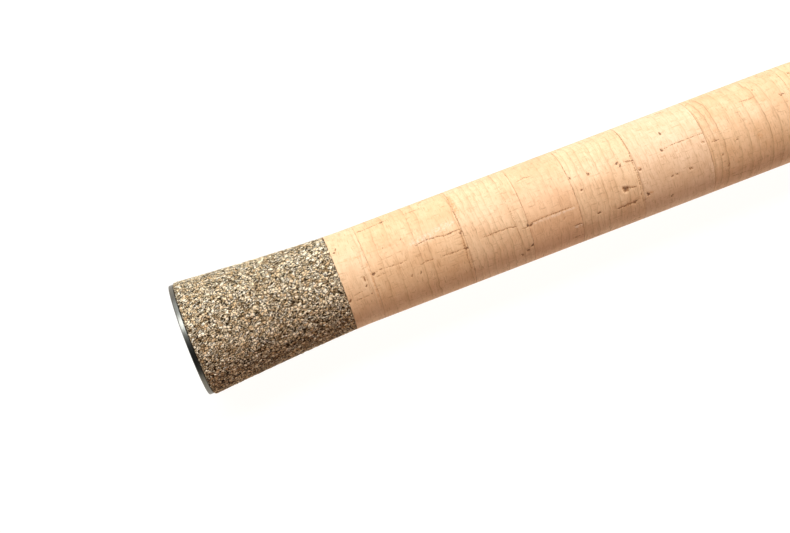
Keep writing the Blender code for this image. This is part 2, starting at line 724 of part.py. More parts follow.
def make_hook_keeper(parent):
    """A wire bridge with a foot at each end, bound to the blank just ahead of the fore grip."""
    x = CHECK_END + KEEPER_START
    flat = -(butt_blank_radius(x) + GAP + KEEPER_WIRE)
    points = [(x - KEEPER_FOOT, flat, 0.0)]
    for i in range(KEEPER_ARCH_POINTS + 1):
        share = i / KEEPER_ARCH_POINTS
        lift = KEEPER_RISE * math.sin(math.pi * share) ** KEEPER_ARCH_POWER
        points.append((x + KEEPER_SPAN * share, flat - lift, 0.0))
    points.append((x + KEEPER_SPAN + KEEPER_FOOT, flat, 0.0))
    wire("hook_keeper", points, KEEPER_WIRE, GUIDE_STEEL, parent)
    bump = 2 * KEEPER_WIRE + GAP
    ends = ((x - KEEPER_FOOT - WHIP_END, x - 2 * KEEPER_WIRE),
            (x + KEEPER_SPAN + 2 * KEEPER_WIRE, x + KEEPER_SPAN + KEEPER_FOOT + WHIP_END))
    for number, (low, high) in enumerate(ends, 1):
        name = f"keeper_whipping_{number}"
        make_whipping(name, low, high, butt_blank_radius, parent, bump, KEEPER_WIRE)


def leg_points(start, end):
    """A leg from the ring to its foot, bowed so that it leaves the foot at a low angle."""
    start, end = Vector(start), Vector(end)
    knee = start.lerp(end, 0.5)
    knee.x = start.x + (end.x - start.x) * LEG_KNEE_OUT
    knee.y = start.y + (end.y - start.y) * LEG_KNEE_DOWN
    points = []
    for i in range(LEG_PARTS + 1):
        t = i / LEG_PARTS
        points.append(start * (1 - t) ** 2 + knee * 2 * t * (1 - t) + end * t * t)
    return points


def make_guide_ring(size, x, centre, parent):
    """The ceramic ring that the line runs through, rounded at both its edges."""
    ring = size.opening + RING_WALL
    half = RING_WIDTH / 2
    flat = half - RING_ROUND
    profile = [
        (flat, ring),
        (-flat, ring),
        (-half, ring - RING_ROUND),
        (-flat, size.opening),
        (flat, size.opening),
        (half, ring - RING_ROUND),
    ]
    turned(f"{size.name}_ring", profile, CERAMIC, parent, RING_SIDES, x, centre)


def make_guide(size, x, radius_at, parent):
    """A line guide at x: a ceramic ring in a holder, on legs that end in feet bound to the
    blank. A guide with two feet has one leg towards the butt and a spread pair towards the
    tip, and one with a single foot has a spread pair that meets on it."""
    centre = -(radius_at(x) + size.rise)
    make_guide_ring(size, x, centre, parent)

    inside = size.opening + RING_WALL + GAP
    outside = inside + HOLDER_WALL
    half = HOLDER_WIDTH / 2
    profile = [(half, outside), (-half, outside), (-half, inside), (half, inside)]
    frame = turned(f"{size.name}_frame", profile, GUIDE_STEEL, parent, RING_SIDES, x, centre)

    middle = (inside + outside) / 2
    pieces = []
    for side in (-1, 1)[: size.feet]:
        heel = x + side * size.reach
        toe = heel + side * size.foot
        bed = max(radius_at(heel), radius_at(toe)) + GAP
        sole = (-bed - FOOT_THICKNESS, -bed)
        low = (min(heel, toe), sole[0], -FOOT_WIDTH / 2)
        high = (max(heel, toe), sole[1], FOOT_WIDTH / 2)
        foot = block(f"foot_{side}", low, high, GUIDE_STEEL, parent, FOOT_TIP_SHARE, side > 0)
        pieces.append(foot)
        single = size.feet == 2 and side < 0
        for hand in (0,) if single else (-1, 1):
            spread = hand * LEG_SPREAD
            hip = (x, centre + middle * math.cos(spread), middle * math.sin(spread))
            ankle = (heel + side * size.wire, -bed - size.wire, hand * LEG_FOOT_OFFSET)
            leg = wire(f"leg_{side}_{hand}", leg_points(hip, ankle), size.wire, GUIDE_STEEL, parent)
            pieces.append(leg)
        bound = sorted((heel + side * LEG_BINDING * size.wire, toe + side * WHIP_END))
        name = f"{size.name}_whipping"
        if size.feet == 2:
            name += "_a" if side < 0 else "_b"
        bump = FOOT_THICKNESS + FOOT_BED
        make_whipping(name, *bound, radius_at, parent, bump, FOOT_WIDTH / 2)
    combined(frame, pieces)


def quiver_clearance(x):
    """Bore of a piece that is slid onto the quiver tip."""
    return quiver_radius(x) + GAP


def quiver_binding_radius(x):
    """Outside of the bindings of the quiver tip's guides, foot and all."""
    return quiver_clearance(x) + WHIP_WALL + GAP


def make_quiver_guide(number, x, parent):
    """A small wire guide of the quiver tip, one with the whipping that binds it."""
    centre = -(quiver_radius(x) + QUIVER_GUIDE_RISE)
    bpy.ops.mesh.primitive_torus_add(
        major_radius=QUIVER_GUIDE_OPENING + QUIVER_GUIDE_WIRE,
        minor_radius=QUIVER_GUIDE_WIRE,
        major_segments=TORUS_SIDES,
        minor_segments=WIRE_SIDES,
    )
    torus = bpy.context.object
    ring = placed(f"quiver_guide_{number}", torus.data, GUIDE_STEEL, parent, x)
    ring.rotation_euler.y = math.pi / 2
    ring.location.y = centre
    bpy.data.objects.remove(torus, do_unlink=True)
    low = x - QUIVER_WHIP_LENGTH - QUIVER_GUIDE_RISE
    high = low + QUIVER_WHIP_LENGTH
    outer, inner = quiver_binding_radius, quiver_clearance
    binding = sleeve("binding", low, high, outer, inner, THREAD, parent, SMALL_SIDES)
    hip = (x, centre + QUIVER_GUIDE_OPENING + QUIVER_GUIDE_WIRE, 0.0)
    foot = (high - QUIVER_FOOT_IN, -(quiver_binding_radius(low) - QUIVER_FOOT_SINK), 0.0)
    leg = wire("leg", leg_points(hip, foot), QUIVER_GUIDE_WIRE, GUIDE_STEEL, parent)
    combined(ring, [binding, leg])


def make_tip_top(parent):
    """The tip ring: a tube over the quiver's end, with a braced wire ring in front of it."""
    start = ROD_LENGTH - TIP_TUBE_LENGTH
    bore = quiver_clearance(start)
    outer = bore + TIP_TUBE_WALL
    end = ROD_LENGTH + GAP + TIP_TUBE_WALL
    profile = [
        (end, 0.0),
        (end, outer),
        (start, outer),
        (start, bore),
        (ROD_LENGTH + GAP, bore),
        (ROD_LENGTH + GAP, 0.0),
    ]
    tube = turned("tip_top", profile, GUIDE_STEEL, parent, SMALL_SIDES)
    wire_radius = QUIVER_GUIDE_WIRE
    major = TIP_RING_OPENING + wire_radius
    centre = Vector((end + wire_radius, -(outer + major * 0.6), 0.0))
    bpy.ops.mesh.primitive_torus_add(
        major_radius=major,
        minor_radius=wire_radius,
        major_segments=TORUS_SIDES,
        minor_segments=WIRE_SIDES,
    )
    torus = bpy.context.object
    ring = placed("ring", torus.data, GUIDE_STEEL, parent, centre.x)
    ring.rotation_euler.y = TIP_RING_TILT
    ring.location.y = centre.y
    bpy.data.objects.remove(torus, do_unlink=True)
    braces = []
    for side in (-1, 1):
        foot = (start + BRACE_START, -outer + wire_radius / 2, side * wire_radius)
        drop, width = major * math.sin(BRACE_ANGLE), major * math.cos(BRACE_ANGLE)
        top = centre + Vector((0.0, -drop, side * width))
        braces.append(wire(f"brace_{side}", [top, foot], BRACE_WIRE, GUIDE_STEEL, parent))
    combined(tube, [ring] + braces)


def build():
    """Make the whole rod."""
    rod = empty("feeder_rod", 0.0)
    hood = empty("hood_slide", HOOD_MOUTH, rod)
    nut = empty("nut_turn", NUT_END - NUT_LENGTH / 2, hood)
    tip = empty("tip_section", TIP_BLANK_START, rod)
    quiver = empty("quiver_section", QUIVER_START, tip)

    make_butt_plate(rod)
    make_burl_butt(rod)
    make_shives("rear_shive", BURL_END, REAR_SHIVE_WIDTHS, rear_grip_radius, rod)
    make_trim_ring("rear_trim_ring", REAR_GRIP_END, TRIM_RADIUS, rod)
    make_reel_seat(rod)
    make_hood("fixed", FIXED_HOOD_MOUTH, FIXED_HOOD_BACK, rod, keyed=False)
    make_hood("sliding", HOOD_MOUTH, HOOD_END, hood, keyed=True)
    make_lock_nut(nut)
    make_trim_ring("front_trim_ring", SEAT_END, TRIM_RADIUS, rod)
    fore_end = make_shives("fore_shive", FORE_GRIP_START, FORE_SHIVE_WIDTHS, fore_grip_radius, rod)
    low, high = fore_end + GAP / 2, FORE_GRIP_END - GAP / 2
    sleeve("fore_burl_ring", low, high, fore_grip_radius, blank_clearance, BURL_CORK, rod)
    make_winding_check(rod)
    make_hook_keeper(rod)
    make_blanks(rod, tip, quiver)
    ferrule_end = TIP_BLANK_START + FERRULE_WHIP_LENGTH
    make_whipping("ferrule_whipping", TIP_BLANK_START, ferrule_end, tip_blank_radius, tip)
    for size in GUIDES:
        x = TIP_BLANK_START + size.ahead
        if size.ahead < 0.0:
            make_guide(size, x, butt_blank_radius, rod)
        else:
            make_guide(size, x, tip_blank_radius, tip)
    for number, back in enumerate(QUIVER_GUIDE_BACK, 1):
        make_quiver_guide(number, ROD_LENGTH - back, quiver)
    make_tip_top(quiver)


clear_scene()
PARTS = bpy.data.collections.new("feeder_rod")
bpy.context.scene.collection.children.link(PARTS)
build()
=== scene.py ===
"""Looks of a two-section feeder rod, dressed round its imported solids.

The rod lies along +X with its butt plate at the origin, +Z is up, and the reel seat and the
line guides face -Y. Lengths are in millimetres, and are turned into metres where a mesh or a
node is made. The studio's lights and floor are in metres.
"""
import logging
import math
import random
from collections.abc import Callable, Iterator
from contextlib import contextmanager
from dataclasses import dataclass
from enum import Enum

import bmesh
import bpy
import numpy as np
from mathutils import Matrix, Vector


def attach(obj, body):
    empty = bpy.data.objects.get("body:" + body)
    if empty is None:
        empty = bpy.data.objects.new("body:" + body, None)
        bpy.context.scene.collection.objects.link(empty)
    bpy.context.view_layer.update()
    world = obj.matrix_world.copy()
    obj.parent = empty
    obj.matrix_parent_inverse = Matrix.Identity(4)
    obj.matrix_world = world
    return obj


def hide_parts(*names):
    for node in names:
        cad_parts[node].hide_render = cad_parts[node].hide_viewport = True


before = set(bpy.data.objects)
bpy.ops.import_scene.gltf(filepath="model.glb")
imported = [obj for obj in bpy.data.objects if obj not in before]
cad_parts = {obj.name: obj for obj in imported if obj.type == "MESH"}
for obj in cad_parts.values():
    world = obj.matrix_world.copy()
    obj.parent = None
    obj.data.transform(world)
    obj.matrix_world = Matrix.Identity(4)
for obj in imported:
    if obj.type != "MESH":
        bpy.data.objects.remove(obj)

LOG = logging.getLogger("feeder_rod")
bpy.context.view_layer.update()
MM = 0.001

Piece = bpy.types.Object
Tree = bpy.types.NodeTree
Socket = bpy.types.NodeSocket
Inputs = dict[str | int, object]
Profile = list[tuple[float, float]]
Radius = Callable[[float], float]

# The angle round the rod at which the camera looks at it, from +Z towards -Y, in degrees
FACING = 12.14


class Kind(Enum):
    """The kinds of node that the finishes and the burl's relief are made of."""

    COORDS = "ShaderNodeTexCoord"
    ATTRIBUTE = "ShaderNodeAttribute"
    NOISE = "ShaderNodeTexNoise"
    CELLS = "ShaderNodeTexVoronoi"
    MATH = "ShaderNodeMath"
    VECTOR = "ShaderNodeVectorMath"
    ROTATE = "ShaderNodeVectorRotate"
    MAPPING = "ShaderNodeMapping"
    SPLIT = "ShaderNodeSeparateXYZ"
    MERGE = "ShaderNodeCombineXYZ"
    RANGE = "ShaderNodeMapRange"
    RAMP = "ShaderNodeValToRGB"
    MIX = "ShaderNodeMix"
    BUMP = "ShaderNodeBump"
    SHAPE_IN = "NodeGroupInput"
    SHAPE_OUT = "NodeGroupOutput"
    PLACE = "GeometryNodeInputPosition"
    FACING_OUT = "GeometryNodeInputNormal"
    MOVE = "GeometryNodeSetPosition"


class Body(Enum):
    """The rod's bodies, each of which moves as one."""

    HANDLE = "handle"
    TIP_SECTION = "tip_section"
    QUIVER = "quiver"
    HOOD = "hood"
    NUT = "nut"


# Nodes, selection and edit mode


def linear(code: str) -> tuple[float, float, float, float]:
    """Turn an sRGB hex colour into the linear colour that a shader takes, with an alpha of 1."""
    shares = [int(code[i : i + 2], 16) / 255.0 for i in (0, 2, 4)]
    return (*[c / 12.92 if c <= 0.04045 else ((c + 0.055) / 1.055) ** 2.4 for c in shares], 1.0)


def wire(tree: Tree, node: bpy.types.Node, inputs: Inputs) -> None:
    """Set a node's inputs, or link them.

    Args:
        tree: the node tree.
        node: the node.
        inputs: values or output sockets, by the input's name or number.
    """
    for name, value in inputs.items():
        if isinstance(name, int):
            socket = node.inputs[name]
        else:
            socket = next(s for s in node.inputs if s.name == name and s.enabled)
        if isinstance(value, Socket):
            tree.links.new(value, socket)
        else:
            socket.default_value = value


def add(
    tree: Tree, kind: Kind, inputs: Inputs | None = None, out: str = "", **settings: object
) -> Socket | None:
    """Add a node with its settings and links.

    Args:
        tree: the node tree.
        kind: the kind of node.
        inputs: values or output sockets, by the input's name or number.
        out: the name of the output to return, or the first one in use.
        settings: the node's own properties; stops sets a colour ramp.

    Returns:
        The node's output socket, where it has one.
    """
    node = tree.nodes.new(kind.value)
    stops = settings.pop("stops", ())
    for name, value in settings.items():
        setattr(node, name, value)
    for number, (place, colour) in enumerate(stops):
        ramp = node.color_ramp.elements
        stop = ramp[number] if number < 2 else ramp.new(place)
        stop.position = place
        stop.color = linear(colour)
    wire(tree, node, inputs or {})
    return next((s for s in node.outputs if s.enabled and (not out or s.name == out)), None)


def deselect() -> None:
    """Leave nothing selected, so that an operator acts only on what is picked next."""
    for thing in bpy.context.selected_objects:
        thing.select_set(False)


def pick(piece: Piece) -> None:
    """Make a piece the only one selected, and the active one.

    Args:
        piece: the piece.
    """
    deselect()
    bpy.context.view_layer.objects.active = piece
    piece.select_set(True)


@contextmanager
def edit_mode(piece: Piece) -> Iterator[None]:
    """Work on a piece in edit mode with all of it selected, and leave it in object mode.

    Args:
        piece: the piece.

    Returns:
        A context for a with statement.
    """
    pick(piece)
    bpy.ops.object.mode_set(mode="EDIT")
    bpy.ops.mesh.select_all(action="SELECT")
    yield
    bpy.ops.object.mode_set(mode="OBJECT")


def settled(name: str) -> Piece:
    """Name the piece that was just added, and make its place and turn its mesh's own.

    Args:
        name: the piece's name.

    Returns:
        The piece.
    """
    bpy.ops.object.transform_apply(location=True, rotation=True, scale=True)
    piece = bpy.context.object
    piece.name = name
    return piece


def apply_modifier(piece: Piece, kind: str, **settings: object) -> None:
    """Give a piece a modifier and apply it at once.

    Args:
        piece: the piece.
        kind: the modifier's type.
        settings: the modifier's properties.
    """
    pick(piece)
    modifier = piece.modifiers.new("step", kind)
    for name, value in settings.items():
        setattr(modifier, name, value)
    bpy.ops.object.modifier_apply(modifier=modifier.name)


def smooth(piece: Piece, angle: float = 38.0) -> None:
    """Shade a piece smooth, with edges sharper than the angle, in degrees, kept crisp."""
    pick(piece)
    bpy.ops.object.shade_smooth_by_angle(angle=math.radians(angle))


def joined(pieces: list[Piece], name: str) -> Piece:
    """Make one piece of several.

    Args:
        pieces: the pieces, the first of which stays.
        name: the name of the whole.

    Returns:
        The joined piece.
    """
    pick(pieces[0])
    for piece in pieces[1:]:
        piece.select_set(True)
    bpy.ops.object.join()
    pieces[0].name = name
    return pieces[0]


def turned(name: str, profile: Profile, sides: int, closed: bool = True, y: float = 0.0) -> Piece:
    """Turn a piece on a lathe: one vertex is drawn along the profile, then spun about X.

    Args:
        name: the piece's name.
        profile: (x, radius) points, outside first.
        sides: how many steps the full turn takes.
        closed: whether the profile's ends are joined, as on a piece with a bore.
        y: where the turning axis lies.

    Returns:
        The turned piece.
    """
    deselect()
    x, radius = profile[0]
    bpy.ops.mesh.primitive_plane_add(size=MM, location=(x * MM, y * MM, radius * MM))
    piece = settled(name)
    with edit_mode(piece):
        bpy.ops.mesh.merge(type="CENTER")
        for near, far in zip(profile, profile[1:]):
            step = ((far[0] - near[0]) * MM, 0.0, (far[1] - near[1]) * MM)
            bpy.ops.mesh.extrude_vertices_move(TRANSFORM_OT_translate={"value": step})
        if closed:
            for vert in bmesh.from_edit_mesh(piece.data).verts:
                if len(vert.link_edges) == 1:
                    vert.select_set(True)
            bmesh.update_edit_mesh(piece.data)
            bpy.ops.mesh.edge_face_add()
        bpy.ops.mesh.select_all(action="SELECT")
        bpy.ops.mesh.spin(steps=sides, angle=math.tau, center=(0.0, y * MM, 0.0), axis=(1.0, 0.0, 0.0))
        bpy.ops.mesh.select_all(action="SELECT")
        bpy.ops.mesh.remove_doubles(threshold=2e-7)
        bpy.ops.mesh.normals_make_consistent(inside=False)
    smooth(piece)
    return piece


def tube(name: str, points: list[Vector], radius: float, sides: int = 12) -> Piece:
    """Bend a round wire through points and close its ends.

    Args:
        name: the piece's name.
        points: the wire's path.
        radius: the wire's radius.
        sides: how many sides its section has.

    Returns:
        The wire as a mesh.
    """
    deselect()
    bpy.ops.curve.primitive_bezier_curve_add()
    piece = settled(name)
    curve = piece.data
    curve.splines.clear()
    line = curve.splines.new("BEZIER")
    line.bezier_points.add(len(points) - 1)
    for knot, point in zip(line.bezier_points, points):
        knot.co = Vector(point) * MM
        knot.handle_left_type = knot.handle_right_type = "AUTO"
    curve.dimensions = "3D"
    curve.resolution_u = 6
    curve.bevel_depth = radius * MM
    curve.bevel_resolution = sides // 4
    curve.use_fill_caps = True
    pick(piece)
    bpy.ops.object.convert(target="MESH")
    with edit_mode(piece):
        bpy.ops.mesh.remove_doubles(threshold=1e-7)
        bpy.ops.mesh.normals_make_consistent(inside=False)
    smooth(piece)
    return piece


def box(name: str, low: tuple[float, ...], high: tuple[float, ...]) -> Piece:
    """A block between two corners.

    Args:
        name: the piece's name.
        low: the lowest corner.
        high: the highest corner.

    Returns:
        The block.
    """
    deselect()
    low, high = Vector(low) * MM, Vector(high) * MM
    bpy.ops.mesh.primitive_cube_add(size=1.0, location=(low + high) / 2, scale=high - low)
    piece = settled(name)
    smooth(piece)
    return piece


def places(piece: Piece) -> np.ndarray:
    """The places of a piece's vertices.

    Args:
        piece: the piece.

    Returns:
        One row of x, y and z for each vertex.
    """
    flat = np.empty(len(piece.data.vertices) * 3)
    piece.data.vertices.foreach_get("co", flat)
    return flat.reshape(-1, 3) / MM


def reshape(piece: Piece, spots: np.ndarray) -> None:
    """Put a piece's vertices at new places."""
    piece.data.vertices.foreach_set("co", (spots * MM).ravel())
    piece.data.update()


def push_out(piece: Piece, new_radius: Callable[..., np.ndarray]) -> None:
    """Move a piece's vertices towards the rod's axis or away from it.

    Args:
        piece: the piece.
        new_radius: gives the new radii from each vertex's place along the rod, its radius, and
            its angle from -Y in radians.
    """
    spots = places(piece)
    radius = np.hypot(spots[:, 1], spots[:, 2])
    angle = np.arctan2(spots[:, 2], -spots[:, 1])
    spots[:, 1:] *= (new_radius(spots[:, 0], radius, angle) / np.maximum(radius, 0.001))[:, None]
    reshape(piece, spots)


def set_attribute(piece: Piece, name: str, values: np.ndarray) -> None:
    """Store one number per vertex, which the piece's material reads by name."""
    layer = piece.data.attributes.new(name, "FLOAT", "POINT")
    layer.data.foreach_set("value", np.asarray(values, dtype=np.float32))


def round_the_rod(spots: np.ndarray) -> tuple[np.ndarray, np.ndarray]:
    """Each vertex's angle from the camera's side, in degrees towards the picture's foot, and its radius."""
    angle = np.degrees(np.arctan2(-spots[:, 1], spots[:, 2])) - FACING
    return (angle + 180.0) % 360.0 - 180.0, np.hypot(spots[:, 1], spots[:, 2])


# Finishes


@dataclass(frozen=True)
class Finish:
    """A surface finish: the real material, the shader that shows it and the record's slot for it."""

    name: str
    colour: str
    roughness: float = 0.5
    metallic: float = 0.0
    slot: str = ""

    def material(self) -> bpy.types.Material:
        """The finish's material, made once.

        Returns:
            The material.
        """
        made = bpy.data.materials.get(self.name)
        if made:
            return made
        made = bpy.data.materials.new(self.name)
        made.use_nodes = True
        made.diffuse_color = linear(self.colour)
        tree = made.node_tree
        shader = tree.nodes["Principled BSDF"]
        plain = {"Base Color": linear(self.colour), "Roughness": self.roughness, "Metallic": self.metallic}
        wire(tree, shader, plain)
        wire(tree, shader, self.paint(tree, add(tree, Kind.COORDS, out="Object")))
        return made

    def paint(self, tree: Tree, spot: Socket) -> Inputs:
        """A plain finish's pattern: a faint unevenness of its polish.

        Args:
            tree: the material's nodes.
            spot: the place on the piece, in metres.

        Returns:
            What the pattern gives the shader, by the input's name.
        """
        cloud = add(tree, Kind.NOISE, {"Vector": spot, "Scale": 1 / (3.0 * MM), "Detail": 3.0})
        spread = {"Value": cloud, "To Min": self.roughness - 0.05, "To Max": self.roughness + 0.08}
        return {"Roughness": add(tree, Kind.RANGE, spread)}

    def dress(self, piece: Piece) -> None:
        """Put the finish on a piece and report it.

        Args:
            piece: the piece.
        """
        piece.data.materials.clear()
        piece.data.materials.append(self.material())
        LOG.info("%s: %d faces, %s", piece.name, len(piece.data.polygons), self.name)


def finished(piece: Piece, body: Body, finish: Finish, node: str) -> None:
    """Give a piece its finish, its body and the node it stands for.

    Args:
        piece: the piece, in place.
        body: the body it moves with.
        finish: its finish.
        node: the node that it stands for.
    """
    finish.dress(piece)
    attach(piece, body.value)
    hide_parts(node)


@dataclass(frozen=True)
class BurlCork(Finish):
    """Burl cork: cork granules of under a millimetre, lying aslant in a dark rubber binder and
    sanded. To the eye it is a salt-and-pepper of cream and tan chips between dark gaps."""

    slot: str = "burl_cork"
    chip: float = 0.66
    fleck: float = 0.34
    lean: float = 18.0
    along: float = 0.7
    ragged: float = 0.42
    shift: float = 0.66
    crumbled: float = 0.42
    missing: float = 0.12
    gap: str = "34250F"
    chips: tuple[tuple[float, str], ...] = (
        (0.0, "876A4A"),
        (1.0, "FBEED6"),
        (0.2, "BD9A6E"),
        (0.4, "DDBF94"),
        (0.7, "F1DCB8"),
    )

    def pattern(self, tree: Tree, spot: Socket) -> dict[str, Socket]:
        """The chips' pattern, the same in a shader and in the mesh's own nodes.

        Args:
            tree: a shader or a geometry tree.
            spot: the place in metres.

        Returns:
            Sockets: gap, 1 between chips; tone, a random share for each chip; small, a random
            share for each fleck.
        """
        aslant = {"Vector": spot, "Angle": -math.radians(self.lean)}
        spot = add(tree, Kind.ROTATE, aslant, rotation_type="Z_AXIS")
        spot = add(tree, Kind.VECTOR, {0: spot, 1: (self.along, 1.0, 1.0)}, operation="MULTIPLY")
        wander = {"Vector": spot, "Scale": 1 / (self.ragged * MM), "Detail": 2.0}
        wander = add(tree, Kind.NOISE, wander, "Color")
        wander = add(tree, Kind.VECTOR, {0: wander, 1: (0.5, 0.5, 0.5)}, operation="SUBTRACT")
        wander = add(tree, Kind.VECTOR, {0: wander, "Scale": self.shift * MM}, operation="SCALE")
        bent = add(tree, Kind.VECTOR, {0: spot, 1: wander}, operation="ADD")
        edges, chances = [], []
        for size, near, far in ((self.chip, 0.02, 0.13), (self.fleck, 0.03, 0.16)):
            cells = {"Vector": bent, "Scale": 1 / (size * MM)}
            away = add(tree, Kind.CELLS, cells, feature="DISTANCE_TO_EDGE")
            edge = {"Value": away, "From Min": near, "From Max": far, "To Min": 1.0, "To Max": 0.0}
            edges.append(add(tree, Kind.RANGE, edge, interpolation_type="SMOOTHSTEP"))
            chances.append(add(tree, Kind.CELLS, cells, "Color"))
        tone = add(tree, Kind.SPLIT, {"Vector": chances[0]}, "X")
        broken = add(tree, Kind.SPLIT, {"Vector": chances[0]}, "Y")
        small = add(tree, Kind.SPLIT, {"Vector": chances[1]}, "X")
        broken = add(tree, Kind.MATH, {0: broken, 1: self.crumbled}, operation="GREATER_THAN")
        hole = add(tree, Kind.MATH, {0: small, 1: self.missing}, operation="LESS_THAN")
        gap = edges[1]
        for operation, other in (("MULTIPLY", broken), ("MAXIMUM", edges[0]), ("MAXIMUM", hole)):
            gap = add(tree, Kind.MATH, {0: gap, 1: other}, operation=operation)
        return {"gap": gap, "tone": tone, "small": small}

    def paint(self, tree: Tree, spot: Socket) -> Inputs:
        """Chips in cream, tan and orange-brown, over the binder's brown-black gaps.

        Args:
            tree: the material's nodes.
            spot: the place on the piece, in metres.

        Returns:
            What the pattern gives the shader, by the input's name.
        """
        made = self.pattern(tree, spot)
        share = 0.0
        for part, weight in ((made["tone"], 0.6), (made["small"], 0.4)):
            share = add(tree, Kind.MATH, {0: part, 1: weight, 2: share}, operation="MULTIPLY_ADD")
        chips = add(tree, Kind.RAMP, {"Fac": share}, "Color", stops=self.chips)
        grain = add(tree, Kind.NOISE, {"Vector": spot, "Scale": 1 / (0.3 * MM), "Detail": 3.0})
        dusk = {"Value": grain, "From Min": 0.3, "From Max": 0.7, "To Min": 0.82, "To Max": 1.08}
        lit = add(tree, Kind.VECTOR, {0: chips, "Scale": add(tree, Kind.RANGE, dusk)}, operation="SCALE")
        layers = {"Factor": made["gap"], "A": lit, "B": linear(self.gap)}
        height = add(tree, Kind.MATH, {0: made["gap"], 1: -1.0, 2: grain}, operation="MULTIPLY_ADD")
        relief = {"Height": height, "Strength": 0.6, "Distance": 0.05 * MM}
        return {
            "Base Color": add(tree, Kind.MIX, layers, data_type="RGBA"),
            "Normal": add(tree, Kind.BUMP, relief),
            "Specular IOR Level": 0.14,
        }


@dataclass(frozen=True)
class NaturalCork(Finish):
    """Natural cork shives, glued, turned and sanded to a peach-cream skin. It shows growth
    lines across the grip, short brown lenticels along it, painted glints as pale streaks beside
    some cracks and pits, and a soft low sheen."""

    slot: str = "natural_cork"
    pale: str = "F2D9B8"
    deep: str = "D3A070"
    line: str = "A8794E"
    # Colour of the painted glints: pale highlights streaked beside cracks and pits
    stained: str = "C98546"
    pale_glint: str = "F6E6CE"
    dust: tuple[tuple[float, str], ...] = ((0.35, "B5804F"), (1.0, "4B331F"), (0.75, "7B5433"))

    def rings(self, tree: Tree, sway: Socket, fade: Socket) -> Socket:
        """The growth lines, each crisp on one side and shaded towards it on the other.

        Args:
            tree: the material's nodes.
            sway: a noise that makes the lines wander.
            fade: a noise that makes them come and go.

        Returns:
            How strongly a line shows.
        """
        phase, pace, depth = (
            add(tree, Kind.ATTRIBUTE, out="Fac", attribute_name=name)
            for name in ("ring_phase", "ring_pace", "ring_depth")
        )
        away = sway
        for operation, other in (
            ("SUBTRACT", 0.5),
            ("MULTIPLY", 1.2),
            ("DIVIDE", pace),
            ("ADD", phase),
            ("FRACT", 0.0),
            ("SUBTRACT", 0.5),
            ("MULTIPLY", pace),
        ):
            away = add(tree, Kind.MATH, {0: away, 1: other}, operation=operation)
        near = add(tree, Kind.MATH, {0: away}, operation="ABSOLUTE")
        crisp = {"Value": near, "From Min": 0.02, "From Max": 0.24, "To Min": 0.8, "To Max": 0.0}
        shade = {"Value": away, "From Min": -1.3, "From Max": 0.05, "To Min": 0.0, "To Max": 0.38}
        fade = {"Value": fade, "From Min": 0.35, "From Max": 0.6, "To Min": 0.35, "To Max": 1.0}
        before = add(tree, Kind.MATH, {0: away, 1: 0.08}, operation="LESS_THAN")
        ring = add(tree, Kind.RANGE, shade)
        for operation, other in (
            ("MULTIPLY", before),
            ("MAXIMUM", add(tree, Kind.RANGE, crisp, interpolation_type="SMOOTHSTEP")),
            ("MULTIPLY", depth),
            ("MULTIPLY", add(tree, Kind.RANGE, fade)),
        ):
            ring = add(tree, Kind.MATH, {0: ring, 1: other}, operation=operation)
        return ring

    def paint(self, tree: Tree, spot: Socket) -> Inputs:
        """A mottled skin with fine dashes, then the shive's own lines, stains, painted pale glints and
        cracks.

        Args:
            tree: the material's nodes.
            spot: the place on the piece, in metres.

        Returns:
            What the pattern gives the shader, by the input's name.
        """
        drawn = []
        for size, detail, rough in (
            (6.0, 3.0, 0.5),
            (1.3, 4.0, 0.65),
            (0.35, 2.0, 0.5),
            (3.4, 3.0, 0.5),
            (5.0, 2.0, 0.5),
            (0.7, 3.0, 0.7),
        ):
            clouds = {"Vector": spot, "Scale": 1 / (size * MM), "Detail": detail, "Roughness": rough}
            drawn.append(add(tree, Kind.NOISE, clouds))
        for along, across, detail in ((0.42, 3.2, 3.0), (2.4, 0.42, 3.0), (0.30, 2.0, 4.0)):
            scale = (1 / (along * MM), 1 / (across * MM), 1 / (across * MM))
            lay = add(tree, Kind.MAPPING, {"Vector": spot, "Scale": scale})
            strands = {"Vector": lay, "Scale": 1.0, "Detail": detail, "Roughness": 0.6}
            drawn.append(add(tree, Kind.NOISE, strands))
        cloud, mottle, grain, sway, fade, broken, cells, dashes, streaks = drawn
        more = 0.0
        for part, weight in ((cloud, 0.40), (mottle, 0.22), (cells, 0.24)):
            more = add(tree, Kind.MATH, {0: part, 1: weight, 2: more}, operation="MULTIPLY_ADD")
        share = add(tree, Kind.RANGE, {"Value": more, "From Min": 0.28, "From Max": 0.58})
        dashes = {"Value": dashes, "From Min": 0.58, "From Max": 0.70, "To Max": 0.55}
        streaks = {"Value": streaks, "From Min": 0.55, "From Max": 0.70, "To Max": 0.6}
        fine = {0: add(tree, Kind.RANGE, dashes), 1: add(tree, Kind.RANGE, streaks)}
        fine = add(tree, Kind.MATH, fine, operation="MAXIMUM")
        ring = self.rings(tree, sway, fade)

        broken = add(tree, Kind.RANGE, {"Value": broken, "From Min": 0.4, "From Max": 0.6})
        # pale is the cover of painted glints, pale highlights beside cracks and pits
        stain, pale, crack = (
            add(tree, Kind.ATTRIBUTE, out="Fac", attribute_name=mark.value)
            for mark in (Mark.STAIN, Mark.PALE_GLINT, Mark.CRACK)
        )
        stain, pale = (
            add(tree, Kind.MATH, {0: mark, 1: broken}, operation="MULTIPLY") for mark in (stain, pale)
        )
        ragged = add(tree, Kind.MATH, {0: grain, 1: 0.5}, operation="SUBTRACT")
        ragged = add(tree, Kind.MATH, {0: ragged, 1: 1.15, 2: crack}, operation="MULTIPLY_ADD")
        dust = add(tree, Kind.RAMP, {"Fac": ragged}, "Color", stops=self.dust)
        torn = {"Value": ragged, "From Min": 0.18, "From Max": 0.6}
        torn = add(tree, Kind.RANGE, torn, interpolation_type="SMOOTHSTEP")
        torn = add(tree, Kind.MATH, {0: torn, 1: 0.85}, operation="MULTIPLY")

